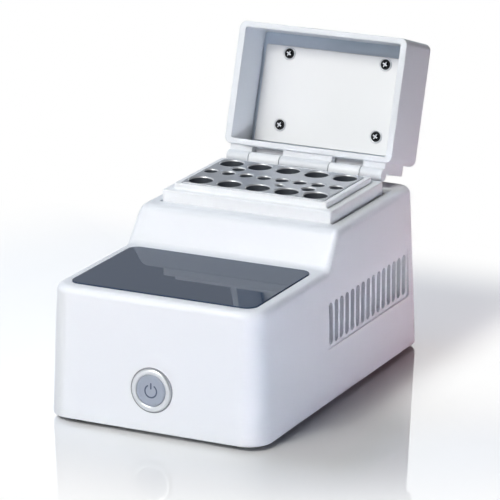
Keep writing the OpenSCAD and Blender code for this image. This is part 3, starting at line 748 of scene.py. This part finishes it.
def vent_recesses(housing):
    """Shallow recess round the slots with an upright floor, so that it dies out at its top and front."""
    half_h, half_length, middle_z, rear_y = 11.7, 44.6, 37.8, 37.5
    recess = facing_right(flared(half_h, half_length, radius=2.0, middle=(0.0, 0.0), z_low=0.0, z_face=1.2,
                                 z_high=6.0, flare=0.15, steps=5))
    recess = turned_z(moved(recess, (0, -half_length, middle_z)), RECESS_TURN)
    part = moved(recess, (housing.width / 2 - RECESS_IN, rear_y, 0))
    return [part, mirrored(part, (-1, 1, 1))]


class HEATER_OT_display(bpy.types.Operator):
    """Dark cover glass let into the front deck"""
    bl_idname = "heater.display"
    bl_label = "Display glass"

    def execute(self, context):
        housing, display = context.scene.heater_housing, context.scene.heater_display
        high = housing.front_deck + display.glass_proud
        low = high - display.glass_thick
        profile = np.concatenate([edge_round(0.2, low + 0.2, 0.2, -90, 0, 3),
                                  edge_round(0.15, high - 0.15, 0.15, 0, 90, 3)])
        glass = new_object("display_cover_glass", stacked(
            profile, display.glass_width / 2, display.glass_depth / 2, radius=5.0,
            middle=(0.0, display.glass_y), steps=16))
        piece(glass, back_printed_glass("Back-printed cover glass", display.glass), "base", "dark_glass",
              ("display_glass",))
        return {"FINISHED"}


class HEATER_OT_button(bpy.types.Operator):
    """Power button: plated ring, the grey rubber ring under its edge whose grey is partly painted shade,
    frosted cap and its power symbol
    """
    bl_idname = "heater.button"
    bl_label = "Power button"

    def execute(self, context):
        housing, display = context.scene.heater_housing, context.scene.heater_display
        rings = (
            ("button_ring", self.ring_profile, satin_plating("Satin chromed ABS", display.ring),
             "base", "silver_ring", ("button_bezel",)),
            # Grey rubber ring under the plated ring; its grey also paints in the shade at the ring's edge.
            ("button_shade_gasket", self.shade_gasket_profile, dull_elastomer("Moulded grey rubber", display.shade_gasket),
             "base", "rubber", ()),
            ("button_cap", self.cap_profile, frosted_cap("Frosted polycarbonate", display.cap),
             "button", "button_cap", ("power_button",)),
        )
        for name, profile, *rest in rings:
            piece(new_object(name, at_button(housing, display, revolved(profile(display), 96))), *rest)
        symbol = new_object("power_symbol", at_button(housing, display, joined(self.symbol(display))))
        piece(symbol, plain_plastic("Pad-printed ink", display.ink), "button", "button_cap")
        return {"FINISHED"}

    def ring_profile(self, display):
        """Sleeve, flange and a domed crown that ends close to the cap, as a closed loop that runs up
        the outside."""
        bore, edge, top = display.cap_radius + 0.08, display.ring_radius, 1.15
        flange, crown_width = 0.25, 1.6
        turn = np.linspace(0, 1, 9)
        crown = np.column_stack([edge - crown_width * turn ** 1.6,
                                 flange + (top - flange) * np.sin(turn * math.pi / 2)])
        inner = [(7.9, top + 0.01), (7.5, top - 0.03), (bore + 0.2, 1.02), (bore + 0.04, 0.88), (bore, 0.7)]
        sleeve = [(bore, -12.0), (8.4, -12.0), (8.4, 0.0), (edge, 0.0)]
        return np.concatenate([sleeve, crown, inner, sleeve[:1]])

    def shade_gasket_profile(self, display):
        """A thin flat ring under the plated ring's edge, with a rounded outer corner. Its grey also paints in
        the shade round that edge.
        """
        inner, outer = display.ring_radius - 0.6, display.ring_radius + 0.55
        return [(inner, -0.3), (outer, -0.3), (outer, 0.1), (outer - 0.06, 0.2), (outer - 0.15, 0.24),
                (inner, 0.24), (inner, -0.3)]

    def face_height(self, display, radius):
        """Height of the cap's face at a radius: outside the dish it falls by a fourth power from 1.2 mm,
        inside it lies lower by a fourth power of the distance from the dish's edge."""
        high, fall, dish = 1.2, 0.3, display.dish_radius
        outside = high - fall * (np.maximum(radius - dish, 0) / (display.cap_radius - dish)) ** 4
        return np.where(radius > dish, outside, high - display.dish_depth * (1 - (radius / dish) ** 4))

    def cap_profile(self, display):
        """Switch pin, skirt, rounded edge, and the face down to its middle."""
        cap, dish = display.cap_radius, display.dish_radius
        radius = np.concatenate([np.linspace(cap - 0.12, dish + 0.1, 6), np.linspace(dish - 0.05, 0, 14)])
        skirt = [(0, -9), (2.5, -9), (2.5, -6), (cap, -6), (cap, 0.8), (cap - 0.03, 0.92)]
        return np.concatenate([skirt, np.column_stack([radius, self.face_height(display, radius)])])

    def symbol(self, display):
        """Arc of a circle open at its top, and an upright bar, both lying in the dish."""
        half_width, half_height, radius, drop = 0.34, 0.05, 2.8, 0.25

        def stroke(x, y):
            z = self.face_height(display, np.hypot(x, y))
            upright = np.broadcast_to([0.0, 0.0, 1.0], (len(x), 3))
            return swept(np.stack([x, y, z], -1), upright, half_width, half_height)

        angle = np.radians(np.linspace(90 + 36, 90 + 324, 60))
        bar = np.linspace(0.9, 3.1, 10)
        return [stroke(radius * np.cos(angle), radius * np.sin(angle) - drop),
                stroke(np.zeros_like(bar), bar)]


class HEATER_OT_block(bpy.types.Operator):
    """Drilled block, and the stepped frame with its two hinge knuckles"""
    bl_idname = "heater.block"
    bl_label = "Block and frame"

    def execute(self, context):
        housing, block = context.scene.heater_housing, context.scene.heater_block
        low = BLOCK_TOP - block.height
        edge = edge_round(0.35, BLOCK_TOP - 0.35, 0.35, 0, 90, 4)
        body = new_object("tube_block", stacked(np.concatenate([[(0.3, low), (0.0, low + 0.3)], edge]),
                                                block.width / 2, block.depth / 2, radius=1.4))
        cut(body, self.wells(block))
        # The block's colour holds painted shade in the wells and a painted highlight on the chamfers.
        piece(body, anodised_aluminium("Bead-blasted anodised aluminium", block.metal, block.painted_bore_shade), "base",
              "block_aluminium", ("heating_block",), smooth=40.0)
        white = moulded_abs("Moulded white ABS frame", block.frame)
        plinth = new_object("frame_plinth", closed_stack(self.plinth(housing), True))
        piece(plinth, white, "base", "white_abs", ("block_frame",), smooth=40.0)
        arms = joined([extruded(self.arm_outline(), *ends)
                       for ends in ((-ARM_HIGH, -ARM_LOW), (ARM_LOW, ARM_HIGH))])
        piece(new_object("frame_knuckles", arms), white, "base", "white_abs", smooth=20.0, bevel=0.3)
        return {"FINISHED"}

    def wells(self, block):
        """Straight wells that end in a cone, their mouths opened by a light chamfer: two rows of large
        ones, the strip's row between them, two single small ones and one for a probe."""
        def well(x, y, radius, depth, cone, tip, segments):
            profile = [(tip, -depth - cone), (radius, -depth), (radius, -0.6), (radius + 0.1, -0.4),
                       (radius + 0.6, 0.1), (radius + 0.6, 1.0)]
            return moved(closed_stack(revolved_loops(profile, segments)), (x, y, BLOCK_TOP))

        def small(x, y):
            return well(x, y, block.small, depth=6.0, cone=11.0, tip=1.3, segments=48)

        large_y, single_y = 15.7, 8.1
        large = [well(i * block.large_pitch, y, block.large, depth=19.0, cone=15.0, tip=2.0, segments=64)
                 for i in range(-2, 3) for y in (-large_y, large_y)]
        strip = [small((i - 3.5) * block.strip_pitch, 0.0) for i in range(8)]
        single = [small(side * 1.5 * block.large_pitch, -side * single_y) for side in (-1, 1)]
        probe = well(block.large_pitch / 2, -single_y, radius=2.0, depth=30.0, cone=0.8, tip=1.0, segments=40)
        return [*large, *strip, *single, probe]

    def plinth(self, housing):
        """Loops from the frame's underside up the plinth, in over the ledge, up the rim and down the
        hole that holds the block. Half sizes, corner radius, middle along Y and height change from loop
        to loop: sharp corners where an upright face starts, rounded edges where it ends."""
        ledge, rim, underside = housing.rear_deck + LEDGE, housing.rear_deck + RIM, 68.0
        hole_w, hole_d, foot_w, foot_d, step_w, step_d, step_y = 35.5, 22.35, 42.0, 28.0, 38.0, 24.1, 0.1
        rows = [(hole_w, hole_d, 1.0, 0.0, underside), (foot_w, foot_d, 1.0, 0.0, underside)]
        rows += [(foot_w - inset, foot_d - inset, max(1.0 - inset, 0.3), 0.0, z)
                 for inset, z in edge_round(0.7, ledge - 0.7, 0.7, 0, 90, 5)]
        rows += [(step_w + 0.35 - rise, step_d + 0.35 - rise, 0.8, step_y, ledge + rise)
                 for rise in (0.0, 0.1225, 0.35)]
        rows += [(step_w - inset, step_d - inset, max(0.8 - inset, 0.3), step_y, z)
                 for inset, z in edge_round(0.6, rim - 0.6, 0.6, 0, 90, 5)]
        rows += [(hole_w + inset, hole_d + inset, 1.5 + inset, 0.0, rim - drop)
                 for inset, drop in ((0.4, 0.0), (0.12, 0.12), (0.0, 0.4))]
        half_w, half_d, radius, middle, z = np.array(rows).T
        return rounded_rectangles(half_w, half_d, radius, 0.0, middle, z, 8)

    def arm_outline(self):
        """Side view of a knuckle: a circle round the hinge axis that stands on an upright arm."""
        c, s = arc(-65.6, 180, 16)
        arm_front, arm_rear, arm_low = HINGE_Y - KNUCKLE, HINGE_Y + 1.2, 69.0
        return [(arm_front, arm_low), (arm_rear, arm_low), *zip(HINGE_Y + KNUCKLE * c, HINGE_Z + KNUCKLE * s)]


class HEATER_OT_lid(bpy.types.Operator):
    """Hinged lid with its liner, bright plate, screws and hinge block"""
    bl_idname = "heater.lid"
    bl_label = "Lid"

    def execute(self, context):
        lid = context.scene.heater_lid
        # The lid's white is the housing's white darkened as painted shade.
        white = moulded_abs("Moulded white ABS lid in painted shade", lid.shell)
        shell = new_object("lid_cover", self.opened(lid, self.shell(lid)))
        piece(shell, white, "lid", "lid_abs", ("lid_shell",))
        hinge = new_object("lid_hinge_block", self.opened(lid, self.hinge()))
        piece(hinge, white, "lid", "lid_abs", smooth=20.0, bevel=0.3)
        plate = new_object("lid_bright_plate", self.opened(lid, self.plate()))
        piece(plate, brushed_aluminium("Brushed bright aluminium", lid.plate), "lid", "plate_aluminium",
              ("lid_plate",))
        washers = new_object("lid_screw_washers", self.at_screws(lid, self.washer()))
        piece(washers, satin_plating("Satin nickel-plated steel", lid.washers), "lid", "steel",
              ("lid_screw_rings",))
        # Painted shade: a black ring round each screw's head, between the washer and the head.
        painted_shade_rings = new_object("lid_screw_painted_shade_rings", self.at_screws(lid, self.painted_shade_ring()))
        piece(painted_shade_rings, dull_elastomer("Moulded rubber", RUBBER), "lid", "rubber")
        heads = new_object("lid_cross_screws", self.at_screws(lid, self.screw()))
        recess = self.cross(reach=1.3, half_width=0.40, low=0.3, straight=0.85, high=2.5)
        cut(heads, [self.at_screws(lid, recess)])
        piece(heads, blackened_steel("Black-oxide steel", lid.screws), "lid", "steel", ("lid_screws",))
        # Painted reflection: a bright nickel-plated cross fills each black head's cross recess.
        bright = self.cross(reach=1.28, half_width=0.38, low=0.5, straight=0.71, high=0.92)
        recesses = new_object("lid_screw_painted_glints", self.at_screws(lid, bright))
        piece(recesses, plated_steel("Nickel-plated steel", STEEL), "lid", "steel")
        dress("lid_inner_panel", moulded_abs("Moulded grey ABS liner", lid.liner, roughness=(0.45, 0.55)))
        return {"FINISHED"}

    def opened(self, lid, part):
        """A part drawn with the lid closed, its Y measured from the hinge axis and its height from the
        lid's rim, turned open about the hinge."""
        return moved(turned_x(moved(part, (0, 0, LID_RIM - HINGE_Z)), -90 - lid.lean), (0, HINGE_Y, HINGE_Z))

    def shell(self, lid):
        """Up the cavity's inside down to the rim, across it, up the outer wall and over the top edge."""
        side_wall, end_wall, roof = 3.3, 2.7, 2.4
        corner, cavity_corner = 3.2, 0.8
        half_w, half_d = lid.width / 2, lid.depth / 2
        inner_w, inner_d = half_w - side_wall, half_d - end_wall
        rows = [(inner_w, inner_d, cavity_corner, lid.height - roof), (inner_w, inner_d, cavity_corner, 0.5)]
        rows += [(inner_w + t, inner_d + t, cavity_corner + t, z) for t, z in ((0.12, 0.15), (0.5, 0.0))]
        rim_edge = edge_round(0.5, 0.5, 0.5, -90, 0, 4)
        roof_edge = edge_round(2.0, lid.height - 2.0, 2.0, 0, 90, 9)
        rows += [(half_w - inset, half_d - inset, corner - inset, z) for inset, z in (*rim_edge, *roof_edge)]
        widths, depths, radius, z = np.array(rows).T
        return closed_stack(rounded_rectangles(widths, depths, radius, 0.0, -LID_REAR - half_d, z, 12))

    def plate(self):
        """Plate with a rounded lower edge that fills the lid's opening up to the liner."""
        half_w, half_d, from_rear = 37.0, 22.75, 3.4
        profile = np.concatenate([edge_round(0.35, PLATE_FACE + 0.35, 0.35, -90, 0, 4),
                                  [(0.0, PLATE_FACE + 1.25), (0.05, PLATE_FACE + 1.3)]])
        middle = (0.0, -LID_REAR - from_rear - half_d)
        return stacked(profile, half_w, half_d, radius=0.8, middle=middle, steps=6)

    def hinge(self):
        """Block behind the lid with three knuckles, cut back over the two knuckles of the frame. Drawn
        from the hinge axis, then measured from the lid's rim as the lid's other parts are."""
        c, s = arc(173.1, 464, 20)
        front, rear, low, high = -6.7, -0.7, 0.35, 21.35
        notch_rear, notch_top = -5.4, 4.6
        notch_low, notch_high, end = ARM_LOW - 0.3, ARM_HIGH + 0.3, 39.5
        full = [(front, low), *zip(KNUCKLE * c, KNUCKLE * s), (rear, high), (front, high)]
        notch = [(front, low), (notch_rear, low), (notch_rear, notch_top), (rear, notch_top), (rear, high),
                 (front, high)]
        stretches = ((full, -end, -notch_high), (full, -notch_low, notch_low), (full, notch_high, end),
                     (notch, -notch_high, -notch_low), (notch, notch_low, notch_high))
        return joined([extruded(np.array(outline) - (0, LID_RIM - HINGE_Z), x0, x1)
                       for outline, x0, x1 in stretches])

    def at_screws(self, lid, part):
        """Four copies of a part at the plate's corners, turned open with the lid. Height 0 of the part
        is the plate's face, and its heights point down from there."""
        screw_x, near_y, far_y = 24.6, 11.8, 45.4
        hanging = mirrored(part, (1, 1, -1))
        return self.opened(lid, joined([moved(hanging, (x, -LID_REAR - y, PLATE_FACE))
                                        for x in (-screw_x, screw_x) for y in (near_y, far_y)]))

    def washer(self):
        """A raised, rounded bead that falls steeply to the black ring of painted shade inside it."""
        return revolved([(1.3, -0.2), (3.1, -0.2), (3.15, 0.12), (3.08, 0.26), (2.95, 0.36), (2.7, 0.4),
                         (2.5, 0.36), (2.36, 0.24), (2.3, 0.1), (1.3, 0.02), (1.3, -0.2)], 48)

    def painted_shade_ring(self):
        """A low black ring between the washer and the screw's head, which paints the shade round the head."""
        return revolved([(1.3, 0.0), (2.34, 0.0), (2.34, 0.2), (2.2, 0.3), (1.9, 0.36), (1.6, 0.3),
                         (1.3, 0.2), (1.3, 0.0)], 48)

    def screw(self):
        """Pan head on a short shank: a low dome with a rounded rim."""
        return revolved([(0.0, -4.0), (1.2, -4.0), (1.2, 0.03), (1.6, 0.2), (1.68, 0.45), (1.68, 0.75),
                         (1.58, 1.0), (1.3, 1.2), (0.7, 1.33), (0.0, 1.38)], 48)

    def cross(self, reach, half_width, low, straight, high):
        """A plus-shaped outline whose arms reach out from its middle, turned by 30 degrees and carried
        up from low to high; it is narrower at its bottom and full size from the straight height up."""
        r, w = reach, half_width
        outline = np.array([(w, w), (w, r), (-w, r), (-w, w), (-r, w), (-r, -w), (-w, -w), (-w, -r), (w, -r),
                            (w, -w), (r, -w), (r, w)])
        levels = ((0.6, low), (1.0, straight), (1.0, high))
        loops = [np.column_stack([outline * share, np.full(len(outline), z)]) for share, z in levels]
        return turned_z(closed_stack(np.array(loops)), 30)


class HEATER_OT_underside(bpy.types.Operator):
    """Feet, power inlet, and finishes for the solids that keep their shape"""
    bl_idname = "heater.underside"
    bl_label = "Feet, inlet and inner parts"

    def execute(self, context):
        foot = revolved([(0, 0), (6.4, 0), (6.9, 0.12), (7.3, 0.45), (7.5, 0.9), (7.5, 2.6), (0, 2.6)], 64)
        places = ((-38, -109, 0), (38, -109, 0), (-41, 24, 0), (41, 24, 0))
        feet = new_object("rubber_feet_round", joined([moved(foot, place) for place in places]))
        piece(feet, dull_elastomer("Moulded rubber", RUBBER), "base", "rubber", ("rubber_feet",))
        nylon = plain_plastic("Moulded black nylon", "#1F2023")
        inlet = new_object("inlet_socket", at_inlet(context.scene.heater_housing, self.socket()))
        piece(inlet, nylon, "base", "black_plastic", ("power_inlet",))
        steel = plated_steel("Nickel-plated steel", STEEL)
        foam = dull_elastomer("Open-cell melamine foam", "#D9D6C8")
        laminate = plain_plastic("Green solder mask on laminate", "#1E6B3C", roughness=(0.3, 0.45))
        eroded = plain_plastic("Spark-eroded ABS", "#DADCE0", roughness=(0.5, 0.6), period=0.7, depth=0.015)
        film = plain_plastic("Polyimide film", "#B5651F", roughness=(0.25, 0.35))
        finishes = (
            (eroded, ("base_plate",)),
            (laminate, ("display_module", "control_board")),
            (nylon, ("push_switch",)),
            (film, ("heater_pad",)),
            (foam, ("block_insulation", "lid_insulation")),
            (steel, ("block_carrier", "base_screws", "frame_screws", "carrier_screws", "temperature_sensor",
                     "board_screws", "inlet_nut", "hinge_pin")),
        )
        for material, nodes in finishes:
            for node in nodes:
                dress(node, material)
        return {"FINISHED"}

    def socket(self):
        """Round socket with a flange, a blind bore and a centre pin; its heights point out of the wall."""
        bore, mouth, flange, barrel, face, base = 2.85, 3.1, 7.0, 5.5, 1.4, -11.0
        body = revolved([(0, -9.0), (0, base), (barrel, base), (barrel, 0.0), (flange, 0.0), (flange, 1.0),
                         (flange - 0.4, face), (mouth, face), (bore, face - 0.25), (bore, -9.0)], 48)
        pin = revolved([(0, -9.2), (1, -9.2), (1, -1.3), (0.7, -1.0), (0, -1.0)], 24)
        return joined([body, pin])


# Name, place and size in metres, watts and colour. The near lamps and the two bounces are small
# and give a warm or cool tint where they stand; the strip stands low and fills the right side.
LAMPS = (
    ("Key", (-0.35, -1.35, 1.4), (0.5, 0.5), 16.0, "#FEFFF8"),
    ("Front low", (0.1, -1.8, 0.6), (0.6, 0.6), 1.8, "#FFF8E8"),
    ("Left", (-1.3, 0.3, 1.5), (0.7, 0.7), 6.8, "#AECAFF"),
    ("Near top", (-0.20, -0.10, 0.5), (0.2, 0.2), 0.45, "#F0FFFD"),
    ("Near front", (-0.12, -0.35, 0.40), (0.2, 0.2), 0.70, "#FFF6F8"),
    ("Right strip", (1.6, -0.8, 0.03), (0.8, 0.1), 0.285, "#EEF2FF"),
    ("Warm bounce", (0.17, 0.12, 0.02), (0.05, 0.05), 0.030, "#FF7A74"),
    ("Cool bounce", (0.22, -0.16, 0.03), (0.10, 0.10), 0.045, "#A8D0FF"),
    ("Floor sheen", (-0.845, 1.718, 0.579), (0.8, 0.8), 3.3, "#FFFFFF"),
)


class HEATER_OT_stage(bpy.types.Operator):
    """Camera, lamps, floor and surroundings"""
    bl_idname = "heater.stage"
    bl_label = "Stage"

    def execute(self, context):
        stage = context.scene.heater_stage
        self.camera(context, stage)
        floor = self.floor(context, stage)
        made = {row[0]: self.lamp(context, *row) for row in LAMPS}
        sheen = made["Floor sheen"]
        made["Key"].visible_glossy = sheen.visible_glossy = True
        made["Right strip"].data.spread = math.radians(12)     # a grid narrows its beam
        only_floor = bpy.data.collections.new("Lit by the floor's own lamp")
        only_floor.objects.link(floor)
        sheen.light_linking.receiver_collection = only_floor
        self.surroundings(context)
        context.scene.view_settings.view_transform = "Standard"
        return {"FINISHED"}

    def camera(self, context, stage):
        """A long lens aimed at the target from the azimuth and elevation."""
        azimuth, elevation = math.radians(stage.azimuth), math.radians(stage.elevation)
        back = Vector((math.sin(azimuth) * math.cos(elevation), -math.cos(azimuth) * math.cos(elevation),
                       math.sin(elevation)))
        data = bpy.data.cameras.new("Camera")
        data.sensor_width, data.lens = 36.0, 259.2
        data.clip_start, data.clip_end = 0.05, 50.0
        thing = bpy.data.objects.new("Camera", data)
        context.scene.collection.objects.link(thing)
        thing.location = (Vector(stage.target) + back * stage.distance) * MM
        thing.rotation_mode = "QUATERNION"
        thing.rotation_quaternion = (-back).to_track_quat("-Z", "Y")
        context.scene.camera = thing

    def lamp(self, context, name, place, spans, power, code):
        """A flat lamp, hidden from mirrors until execute shows it, aimed at the middle of the object: 50 mm
        up, or at the lamp's own height where that is lower."""
        data = bpy.data.lights.new(name, "AREA")
        data.shape, data.energy = "RECTANGLE", power
        data.size, data.size_y = spans
        data.color = rgb(code)[:3]
        thing = bpy.data.objects.new(name, data)
        context.scene.collection.objects.link(thing)
        thing.location = place
        aim = Vector((0.0, 0.0, min(place[2], 50 * MM))) - Vector(place)
        thing.rotation_mode = "QUATERNION"
        thing.rotation_quaternion = aim.to_track_quat("-Z", "Y")
        thing.visible_glossy = False
        return thing

    def floor(self, context, stage):
        """A flat square sheet under the object, 8 m across."""
        reach = 4.0
        corners = [(-reach, -reach, 0.0), (reach, -reach, 0.0), (reach, reach, 0.0), (-reach, reach, 0.0)]
        mesh = bpy.data.meshes.new("floor")
        mesh.from_pydata(corners, [], [(0, 1, 2, 3)])
        mesh.materials.append(gloss_acrylic("Gloss white acrylic sheet", stage.floor))
        thing = bpy.data.objects.new("floor", mesh)
        context.scene.collection.objects.link(thing)
        return thing

    def surroundings(self, context):
        """A plain sky for light. The camera sees it white, and polished surfaces see it bright in
        front of the object, and dimmer behind it, to its right and towards the zenith."""
        world = bpy.data.worlds.new("Surroundings")
        context.scene.world = world
        world.use_nodes = True
        tree = world.node_tree
        tree.nodes.clear()
        way = add_node(tree, "ShaderNodeTexCoord").outputs["Generated"]
        axes = add_node(tree, "ShaderNodeSeparateXYZ", inputs={"Vector": way}).outputs
        strength = 1.0
        for axis, start, end, dimmed in (("Y", -0.5, 0.6, 0.55), ("X", 0.0, 0.7, 0.3), ("Z", 0.3, 0.8, 0.35)):
            share = add_node(tree, "ShaderNodeMapRange", {"interpolation_type": "SMOOTHSTEP"}, {
                "Value": axes[axis], "From Min": start, "From Max": end, "To Min": 1.0, "To Max": dimmed})
            strength = add_node(tree, "ShaderNodeMath", MULTIPLY, {
                0: strength, 1: share.outputs["Result"]}).outputs["Value"]
        ambient, mirrored_sky, white = (
            add_node(tree, "ShaderNodeBackground", inputs={
                "Color": rgb(code), "Strength": power}).outputs["Background"]
            for code, power in (("#E4ECFA", 0.01), ("#F4F7FC", strength), ("#FFFFFF", 1.0)))
        path = add_node(tree, "ShaderNodeLightPath").outputs
        seen = add_node(tree, "ShaderNodeMath", LARGER, {
            0: path["Is Camera Ray"], 1: path["Is Transmission Ray"]}).outputs["Value"]
        lit = add_node(tree, "ShaderNodeMixShader", inputs={
            0: path["Is Glossy Ray"], 1: ambient, 2: mirrored_sky})
        both = add_node(tree, "ShaderNodeMixShader", inputs={0: seen, 1: lit.outputs["Shader"], 2: white})
        add_node(tree, "ShaderNodeOutputWorld", inputs={"Surface": both.outputs["Shader"]})


class HEATER_PT_panel(bpy.types.Panel):
    """Lists the pieces of the heater"""
    bl_idname = "HEATER_PT_panel"
    bl_label = "Block heater"
    bl_space_type = "VIEW_3D"
    bl_region_type = "UI"
    bl_category = "Block heater"

    def draw(self, context):
        for operator in OPERATORS:
            self.layout.operator(operator.bl_idname)


OPERATORS = (HEATER_OT_housing, HEATER_OT_display, HEATER_OT_button, HEATER_OT_block, HEATER_OT_lid,
             HEATER_OT_underside, HEATER_OT_stage)
SETTINGS = {"heater_housing": HousingSettings, "heater_vents": VentSettings,
            "heater_display": DisplaySettings, "heater_block": BlockSettings, "heater_lid": LidSettings,
            "heater_stage": StageSettings}


def register():
    for kind in (*SETTINGS.values(), *OPERATORS, HEATER_PT_panel):
        bpy.utils.register_class(kind)
    for name, kind in SETTINGS.items():
        setattr(bpy.types.Scene, name, PointerProperty(type=kind))


def unregister():
    for name in SETTINGS:
        delattr(bpy.types.Scene, name)
    for kind in (HEATER_PT_panel, *reversed(OPERATORS), *reversed(tuple(SETTINGS.values()))):
        bpy.utils.unregister_class(kind)


def main():
    register()
    bpy.ops.heater.housing()
    bpy.ops.heater.display()
    bpy.ops.heater.button()
    bpy.ops.heater.block()
    bpy.ops.heater.lid()
    bpy.ops.heater.underside()
    bpy.ops.heater.stage()


if __name__ == "__main__":
    main()
